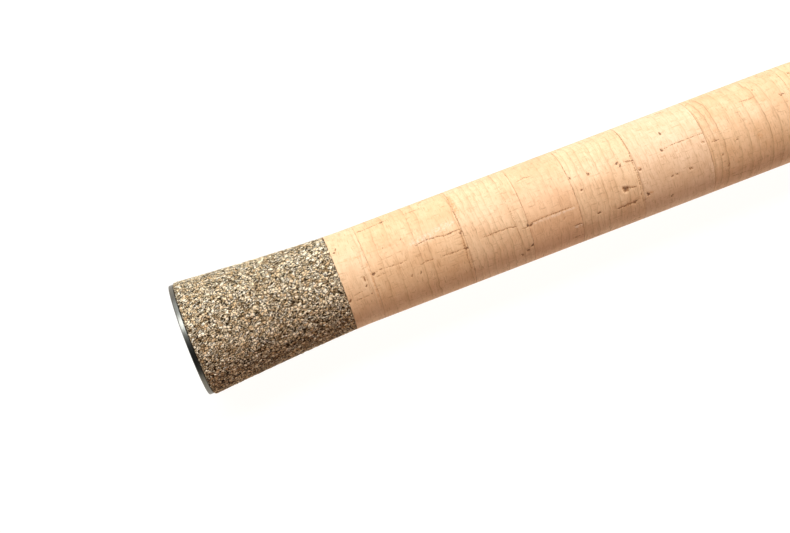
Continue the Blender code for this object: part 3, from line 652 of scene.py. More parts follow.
        skin, line = linear(self.deep), linear(self.line)
        for cover, tint in (
            (share, linear(self.pale)),
            (fine, line),
            (ring, line),
            (stain, linear(self.stained)),
            # Painted glints: pale highlights mixed into the skin
            (pale, linear(self.pale_glint)),
            (torn, dust),
        ):
            skin = add(tree, Kind.MIX, {"Factor": cover, "A": skin, "B": tint}, data_type="RGBA")
        height = cells
        for part, weight in ((ring, -0.6), (grain, 0.7), (fine, -1.0), (torn, -1.2)):
            height = add(tree, Kind.MATH, {0: part, 1: weight, 2: height}, operation="MULTIPLY_ADD")
        relief = {"Height": height, "Strength": 0.5, "Distance": 0.04 * MM}
        return {"Base Color": skin, "Normal": add(tree, Kind.BUMP, relief), "Specular IOR Level": 0.32}


@dataclass(frozen=True)
class TurnedMetal(Finish):
    """Metal finished on a lathe: bright, with fine tool rings round the rod's axis."""

    slot: str = "trim_metal"
    pitch: float = 0.6
    strength: float = 0.1

    def paint(self, tree: Tree, spot: Socket) -> Inputs:
        """Fine rings on faces and round sides, and a slightly uneven polish.

        Args:
            tree: the material's nodes.
            spot: the place on the piece, in metres.

        Returns:
            What the pattern gives the shader, by the input's name.
        """
        apart = add(tree, Kind.VECTOR, {0: spot, 1: (0.0, 1.0, 1.0)}, operation="MULTIPLY")
        radius = add(tree, Kind.VECTOR, {0: apart}, "Value", operation="LENGTH")
        along = add(tree, Kind.SPLIT, {"Vector": spot}, "X")
        total = add(tree, Kind.MATH, {0: radius, 1: along}, operation="ADD")
        line = add(tree, Kind.MERGE, {"X": total})
        rings = add(tree, Kind.NOISE, {"Vector": line, "Scale": 1 / (self.pitch * MM), "Detail": 1.0})
        relief = {"Height": rings, "Strength": self.strength, "Distance": 0.02 * MM}
        worn = {"Value": rings, "From Min": 0.3, "From Max": 0.7, "To Min": 0.78, "To Max": 1.0}
        shade = {0: linear(self.colour)[:3], "Scale": add(tree, Kind.RANGE, worn)}
        cloud = add(tree, Kind.NOISE, {"Vector": spot, "Scale": 1 / (2.0 * MM), "Detail": 3.0})
        mixed = add(tree, Kind.MATH, {0: rings, 1: cloud}, operation="ADD")
        spread = {"Value": mixed, "From Min": 0.7, "From Max": 1.3}
        spread |= {"To Min": self.roughness * 0.92, "To Max": self.roughness * 1.1}
        return {
            "Base Color": add(tree, Kind.VECTOR, shade, operation="SCALE"),
            "Roughness": add(tree, Kind.RANGE, spread),
            "Normal": add(tree, Kind.BUMP, relief),
        }


@dataclass(frozen=True)
class MouldedPlastic(Finish):
    """Plastic from a mould, with the fine pebble of its wall: nylon, or foam with a coarser one."""

    pebble: float = 0.25

    def paint(self, tree: Tree, spot: Socket) -> Inputs:
        """A fine pebbled bump and a polish that varies over the piece.

        Args:
            tree: the material's nodes.
            spot: the place on the piece, in metres.

        Returns:
            What the pattern gives the shader, by the input's name.
        """
        grain = add(tree, Kind.NOISE, {"Vector": spot, "Scale": 1 / (self.pebble * MM), "Detail": 2.0})
        relief = {"Height": grain, "Strength": 0.25, "Distance": 0.03 * MM}
        cloud = add(tree, Kind.NOISE, {"Vector": spot, "Scale": 1 / (9.0 * MM), "Detail": 3.0})
        spread = {"Value": cloud, "To Min": self.roughness - 0.08, "To Max": self.roughness + 0.1}
        return {"Roughness": add(tree, Kind.RANGE, spread), "Normal": add(tree, Kind.BUMP, relief)}


@dataclass(frozen=True)
class LacqueredCarbon(Finish):
    """A carbon tube as it comes off the mandrel: spiral ridges from the shrink tape under a
    clear gloss lacquer, with a faint grey lay of fibres along the tube."""

    slot: str = "carbon"
    tape: float = 3.2
    fibre: str = "33343A"

    def paint(self, tree: Tree, spot: Socket) -> Inputs:
        """Fibres along the tube, tape ridges round it, under a clear coat.

        Args:
            tree: the material's nodes.
            spot: the place on the piece, in metres.

        Returns:
            What the pattern gives the shader, by the input's name.
        """
        along, depth, height = (add(tree, Kind.SPLIT, {"Vector": spot}, axis) for axis in "XYZ")
        ridge = depth
        for operation, other in (
            ("ARCTAN2", height),
            ("MULTIPLY", self.tape * MM / math.tau),
            ("ADD", along),
            ("MULTIPLY", 1 / (self.tape * MM)),
            ("FRACT", 0.0),
        ):
            ridge = add(tree, Kind.MATH, {0: ridge, 1: other}, operation=operation)
        ridge = {"Value": ridge, "From Min": 0.0, "From Max": 0.16, "To Min": 1.0, "To Max": 0.0}
        ridge = add(tree, Kind.RANGE, ridge, interpolation_type="SMOOTHSTEP")
        lay = {"Vector": spot, "Scale": (1 / (14.0 * MM), 1 / (0.35 * MM), 1 / (0.35 * MM))}
        fibres = add(tree, Kind.NOISE, {"Vector": add(tree, Kind.MAPPING, lay), "Scale": 1.0, "Detail": 3.0})
        tint = add(tree, Kind.RANGE, {"Value": fibres, "From Min": 0.35, "From Max": 0.7})
        grey = {"Factor": tint, "A": linear(self.colour), "B": linear(self.fibre)}
        return {
            "Base Color": add(tree, Kind.MIX, grey, data_type="RGBA"),
            "Normal": add(tree, Kind.BUMP, {"Height": ridge, "Strength": 0.5, "Distance": 0.06 * MM}),
            "Coat Weight": 1.0,
            "Coat Roughness": 0.05,
        }


@dataclass(frozen=True)
class LacqueredThread(Finish):
    """Nylon thread wound turn by turn and sealed with clear epoxy: fine ridges across the rod
    under a thick, glassy coat. The thread is drawn at 0.4 mm, twice its size, so it shows."""

    slot: str = "thread"
    thread: float = 0.4
    # Colours at the valleys between turns, darker than the crests: painted shade
    valley_shade: str = "050506"
    trim: str = "7E4628"
    trim_valley_shade: str = "3A1C0E"
    trim_from: float = 1.7
    trim_to: float = 2.5

    def paint(self, tree: Tree, spot: Socket) -> Inputs:
        """Wound turns, black with a copper trim band at each end, under a clear coat, with painted shade
        darkening the valleys between turns.

        Args:
            tree: the material's nodes.
            spot: the place on the piece, in metres.

        Returns:
            What the pattern gives the shader, by the input's name.
        """
        turns = add(tree, Kind.SPLIT, {"Vector": spot}, "X")
        pace = math.pi / (self.thread * MM)
        for operation, other in (("MULTIPLY", pace), ("SINE", 0.0), ("ABSOLUTE", 0.0)):
            turns = add(tree, Kind.MATH, {0: turns, 1: other}, operation=operation)
        gap = add(tree, Kind.ATTRIBUTE, out="Fac", attribute_name="end_gap")
        band = {0: gap, 1: (self.trim_from + self.trim_to) / 2, 2: (self.trim_to - self.trim_from) / 2}
        band = add(tree, Kind.MATH, band, operation="COMPARE")
        # Each colour runs from painted shade in the valleys to the thread's own colour on the crests
        black, copper = (
            add(tree, Kind.MIX, {"Factor": turns, "A": linear(low), "B": linear(high)}, data_type="RGBA")
            for low, high in ((self.valley_shade, self.colour), (self.trim_valley_shade, self.trim))
        )
        return {
            "Base Color": add(tree, Kind.MIX, {"Factor": band, "A": black, "B": copper}, data_type="RGBA"),
            "Normal": add(tree, Kind.BUMP, {"Height": turns, "Strength": 0.4, "Distance": 0.05 * MM}),
            "Coat Weight": 1.0,
            "Coat Roughness": 0.04,
        }


@dataclass(frozen=True)
class TipPaint(Finish):
    """A glass quiver tip painted gloss white, its last stretch in signal orange, so that a
    bite shows against the water."""

    slot: str = "tip_paint"
    bright: str = "F2541B"
    bright_from: float = 2440.0

    def paint(self, tree: Tree, spot: Socket) -> Inputs:
        """White, then orange beyond a place on the rod, under a clear coat.

        Args:
            tree: the material's nodes.
            spot: the place on the piece, in metres.

        Returns:
            What the pattern gives the shader, by the input's name.
        """
        along = add(tree, Kind.SPLIT, {"Vector": spot}, "X")
        far = add(tree, Kind.MATH, {0: along, 1: self.bright_from * MM}, operation="GREATER_THAN")
        colours = {"Factor": far, "A": linear(self.colour), "B": linear(self.bright)}
        cloud = add(tree, Kind.NOISE, {"Vector": spot, "Scale": 1 / (1.2 * MM), "Detail": 3.0})
        return {
            "Base Color": add(tree, Kind.MIX, colours, data_type="RGBA"),
            "Normal": add(tree, Kind.BUMP, {"Height": cloud, "Strength": 0.15, "Distance": 0.03 * MM}),
            "Coat Weight": 0.6,
            "Coat Roughness": 0.08,
        }


# Each finish: its name, colour, roughness, share of metal and slot, under what it gives the eye

# A coarse salt-and-pepper speckle, warm and matt
BURL = BurlCork("burl_cork_sanded", "A48661", 0.75)
# The same satin skin from nearly white to brownish, so that each shive stands apart
PALE_CORK = NaturalCork("natural_cork_pale", "E8C8A6", 0.58, pale="E9C59F", deep="DAB187", line="B98B60")
PEACH_CORK = NaturalCork("natural_cork_peach", "E2BA96", 0.58, pale="E8C296", deep="D8AA7C", line="B68659")
PINK_CORK = NaturalCork("natural_cork_pinkish", "E2B894", 0.58, pale="E9C095", deep="D7A87C", line="BA8860")
STRAW_CORK = NaturalCork("natural_cork_straw", "E4BE9B", 0.58, pale="EAC69C", deep="DAAE82", line="B4885E")
BROWN_CORK = NaturalCork("natural_cork_brown", "DCAE82", 0.58, pale="E7C197", deep="D5A779", line="AC7F53")
# Dull silver with clear tool rings, and a soft glint along the rim
BUTT_STEEL = TurnedMetal("polished_steel_turned", "8A857A", 0.38, 1.0, "butt_metal", pitch=0.8, strength=0.3)
# A satin sheen with faint tool rings, pale or gunmetal
SATIN_ALUMINIUM = TurnedMetal("anodised_aluminium_satin", "9D9A95", 0.40, 1.0)
DARK_ALUMINIUM = TurnedMetal("anodised_aluminium_gunmetal", "6A6867", 0.36, 1.0)
# Near black and satin with a fine pebble, a shade greyer in the liners
SEAT_NYLON = MouldedPlastic("glass_filled_nylon_black", "1B1B1D", 0.44, slot="seat_nylon")
LINER_NYLON = MouldedPlastic("hood_liner_nylon_grey", "3A3B3E", 0.5, slot="liner_plastic")
# Matt buff, with a coarse grain
ARBOR_FOAM = MouldedPlastic("arbor_foam_buff", "B8AA84", 0.85, pebble=0.6)
# Deep black gloss with faint spiral ridges
CARBON = LacqueredCarbon("lacquered_carbon_tube", "1A1B1F", 0.30)
# Fine black turns with a copper band, under glass
THREAD = LacqueredThread("lacquered_thread_black", "26272B", 0.35)
# Dark wire with a sharp bright line along it
GUIDE_STEEL = Finish("stainless_wire_dark_plated", "55565A", 0.22, 1.0, "guide_steel")
# Nearly black, with a wet-looking polish
CERAMIC = Finish("alumina_ring_polished", "33353A", 0.10, slot="guide_ceramic")
# Glossy white, then a signal orange end
TIP_WHITE = TipPaint("quiver_tip_paint", "F3F1E8", 0.30)


# Sub-assemblies


@dataclass(frozen=True)
class RearGripLine:
    """The outside of the rear grip: the flare at the butt, a parallel run, a slight nose."""

    radius: float = 13.25
    flare_radius: float = 16.1
    flare_start: float = 1.3
    flare_end: float = 48.0
    flare_power: float = 1.35
    end: float = 202.6
    nose_length: float = 30.0
    nose_drop: float = 1.1

    def at(self, x: float) -> float:
        """The radius at a place along the rod.

        Args:
            x: the place.

        Returns:
            The radius.
        """
        flare = max(0.0, (self.flare_end - x) / (self.flare_end - self.flare_start))
        nose = max(0.0, (x - self.end + self.nose_length) / self.nose_length)
        swell = (self.flare_radius - self.radius) * flare**self.flare_power
        return self.radius + swell - self.nose_drop * nose**2


@dataclass(frozen=True)
class ForeGripLine:
    """The outside of the fore grip: fullest at the reel seat, drawn in towards the check."""

    start: float = 326.6
    end: float = 396.6
    radius: float = 12.6
    end_radius: float = 9.4
    power: float = 1.6

    def at(self, x: float) -> float:
        """The radius at a place along the rod."""
        share = min(1.0, max(0.0, (x - self.start) / (self.end - self.start)))
        return self.radius - (self.radius - self.end_radius) * share**self.power


@dataclass(frozen=True)
class TaperLine:
    """The outside of a tapered tube or rod, and the body that what is bound to it moves with."""

    body: Body
    start: float
    radius: float
    end: float
    end_radius: float
    clearance: float = 0.3

    def at(self, x: float) -> float:
        """The radius at a place along the rod."""
        return self.radius + (self.end_radius - self.radius) * (x - self.start) / (self.end - self.start)

    def bore(self, x: float) -> float:
        """The bore of a piece that is threaded onto it."""
        return self.at(x) + self.clearance


REAR_GRIP = RearGripLine()
FORE_GRIP = ForeGripLine()
BLANK = TaperLine(Body.HANDLE, 0.0, 6.4, 1360.0, 4.6)
TIP_BLANK = TaperLine(Body.TIP_SECTION, 1300.0, 5.779, 2200.0, 2.35)
QUIVER = TaperLine(Body.QUIVER, 2152.0, 1.35, 2743.0, 0.6)


def rows(start: float, end: float, step: float, hold: float = 0.12) -> list[float]:
    """Places from one end to the other, evenly apart, with one held close to each end.

    Args:
        start: the first place.
        end: the last place.
        step: about how far apart they are.
        hold: how close to each end the holding place is.

    Returns:
        The places in order.
    """
    sign = 1.0 if end > start else -1.0
    inner, outer = start + sign * hold, end - sign * hold
    count = max(1, round(abs(outer - inner) / step))
    return [start, *[inner + (outer - inner) * i / count for i in range(count + 1)], end]


def rounded(x: float, radius: float, size: float, side_x: float, steps: int = 4) -> Profile:
    """A profile's rounded corner, from the round side to an end face that looks along side_x, 1 or -1."""
    turns = [math.radians(90.0 * i / steps) for i in range(steps + 1)]
    return [(x - side_x * size * (1 - math.sin(t)), radius - size * (1 - math.cos(t))) for t in turns]


@dataclass
class ButtPlate:
    """The metal disc that closes the butt, with the plug that centres it in the blank."""

    radius: float = 15.65
    thickness: float = 1.3
    edge: float = 0.24
    plug_radius: float = 5.0
    plug_length: float = 8.0
    groove: float = 12.8
    groove_width: float = 0.3
    groove_depth: float = 0.3
    dish: float = 0.16
    dish_rim: float = 2.5
    rim_land: float = 0.35
    dish_eye: float = 0.3
    sides: int = 160

    def build(self) -> None:
        """Turn the disc and its plug."""
        far = self.thickness + self.plug_length
        front = rounded(self.thickness, self.radius, self.edge, 1.0)
        back = rounded(0.0, self.radius, self.edge, -1.0)
        profile = [
            (far, 0.0),
            (far, self.plug_radius - self.edge),
            (far - self.edge, self.plug_radius),
            (self.thickness, self.plug_radius),
            *reversed(front),
            *back,
            (0.0, self.groove + self.groove_width),
            (self.groove_depth, self.groove + self.groove_width / 2),
            (self.groove_depth, self.groove - self.groove_width / 2),
            (self.dish / 2, self.groove - self.rim_land),
            (self.dish, self.groove - self.dish_rim),
            (self.dish, self.radius * self.dish_eye),
            (self.dish, 0.0),
        ]
        piece = turned("turned_butt_plate", profile, self.sides, closed=False)
        finished(piece, Body.HANDLE, BUTT_STEEL, "butt_plate")


def cork_ring(name: str, outside: Profile, sides: int, levels: int = 2) -> Piece:
    """Turn a cork ring with a bore for the blank, and refine it.

    Args:
        name: the piece's name.
        outside: its outside as (x, radius) points, from its front end to its rear end.
        sides: how many steps the full turn takes.
        levels: how many times it is subdivided.

    Returns:
        The ring.
    """
    (high, front), (low, rear) = outside[0], outside[-1]
    bore = BLANK.bore(low)
    profile = [*outside, (low, rear - 0.2), (low, bore), (high, bore), (high, front - 0.2)]
    piece = turned(name, profile, sides)
    apply_modifier(piece, "SUBSURF", levels=levels, render_levels=levels)
    return piece


@dataclass
class BurlRing:
    """A burl cork ring on the blank, sanded so that its chips stand a little proud."""

    name: str
    node: str
    start: float
    end: float
    line: Radius
    step: float
    sides: int
    relief: float
    chamfer: float = 0.0

    def build(self) -> None:
        """Turn the ring, refine it, and press the chips' gaps into it."""
        outside = [(x, self.line(x)) for x in rows(self.end, self.start + self.chamfer, self.step)]
        if self.chamfer:
            outside.append((self.start, self.line(self.start) - self.chamfer))
        piece = cork_ring(self.name, outside, self.sides)
        apply_modifier(piece, "NODES", node_group=self.make_relief())
        smooth(piece)
        finished(piece, Body.HANDLE, BURL, self.node)

    def make_relief(self) -> Tree:
        """Geometry nodes that sink the gaps between the chips that the burl finish paints.

        Returns:
            The node group.
        """
        tree = bpy.data.node_groups.new("burl_relief", "GeometryNodeTree")
        for side in ("INPUT", "OUTPUT"):
            tree.interface.new_socket("Geometry", in_out=side, socket_type="NodeSocketGeometry")
        shape = add(tree, Kind.SHAPE_IN)
        made = BURL.pattern(tree, add(tree, Kind.PLACE))
        lift = made["tone"]
        for operation, other in (
            ("SUBTRACT", 0.5),
            ("MULTIPLY", 0.8),
            ("SUBTRACT", made["gap"]),
            ("MULTIPLY", self.relief * MM),
        ):
            lift = add(tree, Kind.MATH, {0: lift, 1: other}, operation=operation)
        offset = add(tree, Kind.VECTOR, {0: add(tree, Kind.FACING_OUT), "Scale": lift}, operation="SCALE")
        moved = add(tree, Kind.MOVE, {"Geometry": shape, "Offset": offset})
        add(tree, Kind.SHAPE_OUT, {"Geometry": moved})
        return tree


class Mark(Enum):
    """The kinds of mark that a cork shive carries."""

    CRACK = "crack"
    # Pale streaks: painted glints, highlights painted beside cracks and pits and on the shive's upper side
    PALE_GLINT = "pale"
    STAIN = "stain"


@dataclass(frozen=True)
class Stroke:
    """One mark on a shive: where it runs, how wide it is, how strong, and how deep."""

    mark: Mark
    path: tuple[tuple[float, float], ...]
    width: float = 0.35
    strength: float = 0.8
    depth: float = 0.12

    def cover(self, along: np.ndarray, turn: np.ndarray, radius: float) -> np.ndarray:
        """How strongly the mark covers each vertex.

        Args:
            along: each vertex's place along the rod.
            turn: its angle round the rod, in degrees.
            radius: the shive's radius.

        Returns:
            The cover of each vertex, 0 to 1.
        """
        arc = math.radians(radius)
        first = self.path[0]
        across = ((turn - first[1] + 180.0) % 360.0 - 180.0) * arc
        points = [(x - first[0], (a - first[1]) * arc) for x, a in self.path]
        best = np.zeros(len(along))
        count = len(points) - 1
        for number, ((x0, y0), (x1, y1)) in enumerate(zip(points, points[1:])):
            length = (x1 - x0) ** 2 + (y1 - y0) ** 2
            share = ((along - first[0] - x0) * (x1 - x0) + (across - y0) * (y1 - y0)) / length
            share = np.clip(share, 0.0, 1.0)
            ahead = along - first[0] - x0 - share * (x1 - x0)
            away = np.hypot(ahead, across - y0 - share * (y1 - y0))
            whole = (number + share) / count
            width = self.width * (0.4 + 0.6 * np.sin(np.pi * whole) ** 0.5)
            best = np.maximum(best, np.clip(1.25 - away / width, 0.0, 1.0))
        return best


def crack(
    *path: tuple[float, float], width: float = 0.3, strength: float = 0.8, depth: float = 0.05
) -> Stroke:
    """A dark crack through places along and round the rod."""
    return Stroke(Mark.CRACK, path, width, strength * 0.72, depth)


def pit(x: float, turn: float, size: float = 0.5, strength: float = 1.0) -> Stroke:
    """A short bent pit at a place along and round the rod.

    Args:
        x: its place along the rod.
        turn: its angle round the rod, in degrees.
        size: about half its length.
        strength: how dark it is, 0 to 1.

    Returns:
        The pit's mark, whose slant is taken from its place.
    """
    slant = math.radians((x * 53.0 + turn * 29.0) % 180.0)
    along, across = 1.3 * size * math.cos(slant), 5.0 * size * math.sin(slant)
    bent = (
        (x - along, turn - across),
        (x - 0.2 * size, turn + 2.4 * size),
        (x + 0.3 * size, turn - 1.2 * size),
        (x + along, turn + across * 0.7),
    )
    return Stroke(Mark.CRACK, bent, 0.18 + size * 0.2, strength * 0.85, 0.12)


def pale(*path: tuple[float, float], width: float = 0.6, strength: float = 0.6) -> Stroke:
    """A pale streak through places along and round the rod, painted as a glint of light."""
    return Stroke(Mark.PALE_GLINT, path, width, strength, 0.0)


def stain(*path: tuple[float, float], width: float = 0.7, strength: float = 0.5) -> Stroke:
    """An orange-brown streak through places along and round the rod."""
    return Stroke(Mark.STAIN, path, width, strength, 0.0)


@dataclass(frozen=True)
class Shive:
    """One cork ring of a grip: its ends, its finish, and its own growth lines, marks and glue line.
    Only the shives that the photograph shows have lines and marks of their own."""

    start: float
    end: float
    finish: NaturalCork
    lines: tuple[tuple[float, float], ...] = ()
    marks: tuple[Stroke, ...] = ()
    joint: float = 0.3


SEEN_SHIVES = (
    Shive(
        43.3, 51.6, STRAW_CORK,
        ((44.6, 0.2), (47.2, 0.3), (50.2, 0.5)),
        (
            pit(45.0, -41.0, 0.45), pit(44.4, -37.0, 0.35),
            crack((49.3, 2.0), (49.4, 9.0), width=0.4, strength=0.9), pit(49.2, 14.0, 0.35),
            pit(49.9, 25.0, 0.3, 0.8),
            crack((49.9, -52.0), (49.7, -20.0), (50.0, 8.0), (49.8, 30.0), width=0.2, strength=0.45),
            crack((45.4, 20.0), (48.9, 18.0), width=0.2, strength=0.6),
            crack((44.5, 27.0), (48.9, 26.0), width=0.2, strength=0.6), pit(43.8, 24.0),
            stain((44.0, -22.0), (51.5, -21.0), width=0.3, strength=0.4),
            stain((51.3, -10.0), (51.4, 20.0), (51.2, 50.0), width=0.3, strength=0.6),
        ),
        joint=0.25,
    ),
    Shive(
        51.6, 78.1, PEACH_CORK,
        ((55.3, 0.7), (59.2, 0.8), (62.4, 0.4), (65.5, 0.75), (68.2, 0.85), (73.0, 0.25), (77.5, 0.9)),
        (
            crack((52.0, -57.0), (54.0, -56.0), width=0.35),
            crack((54.0, -56.0), (57.5, -58.0), (61.0, -59.0), strength=0.7),
            pit(59.2, -59.0), crack((65.0, -57.0), (71.0, -57.0), strength=0.6),
            crack((51.8, 4.0), (54.0, 2.0), (57.0, 3.0), (60.0, 4.0), (62.0, 2.0), width=0.25, strength=0.65),
            pit(52.0, 4.0), crack((51.9, 9.0), (55.0, 8.0), width=0.25, strength=0.6),
            crack((65.0, -9.0), (68.0, -11.0), (71.5, -10.0), (73.0, -8.0), (77.9, -9.0), strength=0.75),
            crack((73.0, -8.0), (77.0, -8.8), width=0.35, strength=0.85), pit(77.6, -5.0, 0.45),
            # Painted glints: two soft pale streaks of highlight on the shive's upper side
            pale((64.0, -12.5), (68.0, -13.5), (71.5, -15.0), width=1.3, strength=0.3),
            pale((70.5, -17.5), (74.0, -18.0), (77.0, -19.0), width=1.1, strength=0.28),
            crack((64.5, 14.0), (66.5, 12.0), (68.5, 13.0), strength=0.7),
            crack((70.3, 13.0), (74.0, 14.2), (77.8, 14.0), width=0.28, strength=0.7), pit(77.6, 14.5),
            pit(61.5, 22.0, 0.4, 0.8), pit(64.0, 23.0, 0.4, 0.8),
            stain((52.0, -21.0), (58.0, -20.0), (64.0, -23.0), width=0.3, strength=0.35),
            pit(56.8, -20.0, 0.3, 0.6), pit(62.0, -23.0, 0.3, 0.6),
            crack((77.5, -55.0), (77.9, -40.0), (77.9, -12.0), (77.6, -4.0), (77.2, 15.0), (77.1, 30.0),
                (77.4, 45.0), strength=0.6),
        ),
        joint=0.6,
    ),
    Shive(
        78.1, 95.4, STRAW_CORK,
        ((79.3, 0.5), (81.3, 0.6), (83.5, 0.65), (85.2, 0.55), (87.0, 0.65), (89.2, 0.7), (91.9, 0.9),
         (93.5, 0.5)),
        (
            stain((78.4, -60.0), (78.6, -40.0), (78.8, -25.0), width=0.8, strength=0.6),
            crack((82.0, 10.0), (86.0, 9.5), (90.0, 10.0), (92.5, 12.0), width=0.26),
            crack((93.4, 17.0), (94.8, 17.0), strength=0.7), pit(91.8, 52.0, 0.5, 0.8),
            pit(93.6, 48.0, 0.5, 0.9), pit(95.1, 42.0, 0.6), pit(95.1, 15.5, 0.45),
            crack((92.2, -50.0), (91.8, -25.0), (91.9, -10.0), (92.3, 5.0), (92.2, 25.0), (91.9, 40.0),
                strength=0.4),
        ),
        joint=0.4,
    ),
    Shive(
        95.4, 109.9, PINK_CORK,
        ((98.6, 0.2), (101.0, 0.25), (103.3, 0.45), (105.6, 0.5), (108.0, 0.2)),
        (
            crack((96.3, 13.5), (100.0, 13.0), (105.0, 13.2), (109.0, 13.0), width=0.26),
            # Painted highlight: a pale streak along the crack's lip
            pale((96.5, 15.6), (102.0, 15.4), (108.8, 15.4), width=0.5, strength=0.35),
            crack((96.2, -39.0), (99.0, -42.0), (101.0, -40.0), strength=0.7),
            pit(96.0, 16.0), pit(105.2, 23.0, 0.35, 0.8),
            crack((107.5, 38.0), (109.6, 38.0), width=0.35),
            # Painted highlight: a pale streak beside the crack
            pale((107.5, 40.0), (109.6, 40.0), width=0.5),
            crack((107.0, 57.0), (109.6, 57.0), width=0.35, strength=0.7),
            stain((107.8, -26.0), (108.9, -26.0), width=0.6),
            crack((104.0, -65.0), (102.4, -57.0), (101.5, -50.0), width=0.25, strength=0.35),
        ),
        joint=0.7,
    ),
    Shive(
        109.9, 128.1, STRAW_CORK,
        ((112.7, 0.65), (114.6, 0.6), (116.3, 0.3), (118.0, 0.8), (119.8, 0.35), (121.3, 0.7),
         (124.0, 0.65), (126.4, 0.4)),
        (
            pit(110.3, -19.0, 0.35, 0.9), pit(112.0, -1.0, 0.35, 0.9), pit(115.3, -16.0, 0.45, 0.9),
            stain((115.0, -15.0), (116.0, -15.0)), pit(123.6, -16.0),
            pit(124.2, -12.0, 0.45), crack((125.5, -14.0), (128.0, -12.0), width=0.35),
            crack((122.9, 14.2), (123.5, 17.8), (124.3, 16.0), width=0.9, strength=1.0, depth=0.35),
            # Painted highlight: a pale fleck inside the big pit
            pale((123.3, 15.6), (123.7, 16.2), width=0.5, strength=0.9),
            crack((124.3, 16.5), (126.5, 18.0), width=0.4),
            crack((120.0, 37.0), (123.0, 36.5), (126.0, 35.0), width=0.5),
            pit(114.8, 33.0, 0.5, 0.8), pit(125.2, 37.0, 0.5, 0.9),
            crack((127.9, -60.0), (127.9, -30.0), (127.6, -10.0), (127.6, 15.0), (127.3, 30.0),
                (127.7, 50.0), strength=0.55),
        ),
        joint=0.7,
    ),
    Shive(
        128.1, 148.6, PALE_CORK,
        ((131.6, 0.35), (133.2, 0.3), (134.6, 0.4), (139.5, 0.35), (142.0, 0.35), (144.6, 0.45),
         (147.0, 0.3)),
        (
            pit(129.2, 33.0, 0.6), stain((129.4, 32.0), (130.6, 32.5), strength=0.6),
            pit(137.9, -32.0), pit(136.3, -11.0, 0.45),
            crack((137.0, -12.0), (140.0, -13.2), (143.0, -13.0), (148.4, -13.5), width=0.25, strength=0.7),
            crack((129.5, -42.0), (138.0, -41.5), (148.4, -42.0), width=0.22, strength=0.35),
            pit(128.9, 1.0, 0.4, 0.9), stain((128.3, -1.0), (129.2, -1.0), width=0.6, strength=0.6),
            pit(136.8, 22.0, 0.4, 0.8), pit(138.2, 22.0, 0.35, 0.8), pit(142.2, 21.0, 0.45, 0.8),
            pit(147.6, -3.0, 0.45, 0.6), pit(135.8, 48.0, 0.5, 0.9),
            stain((135.6, -3.0), (136.6, -3.0), width=0.6),
        ),
        joint=0.4,
    ),
    Shive(148.6, 175.6, BROWN_CORK, joint=0.5),
    Shive(175.6, 202.6, PEACH_CORK, joint=0.4),
)


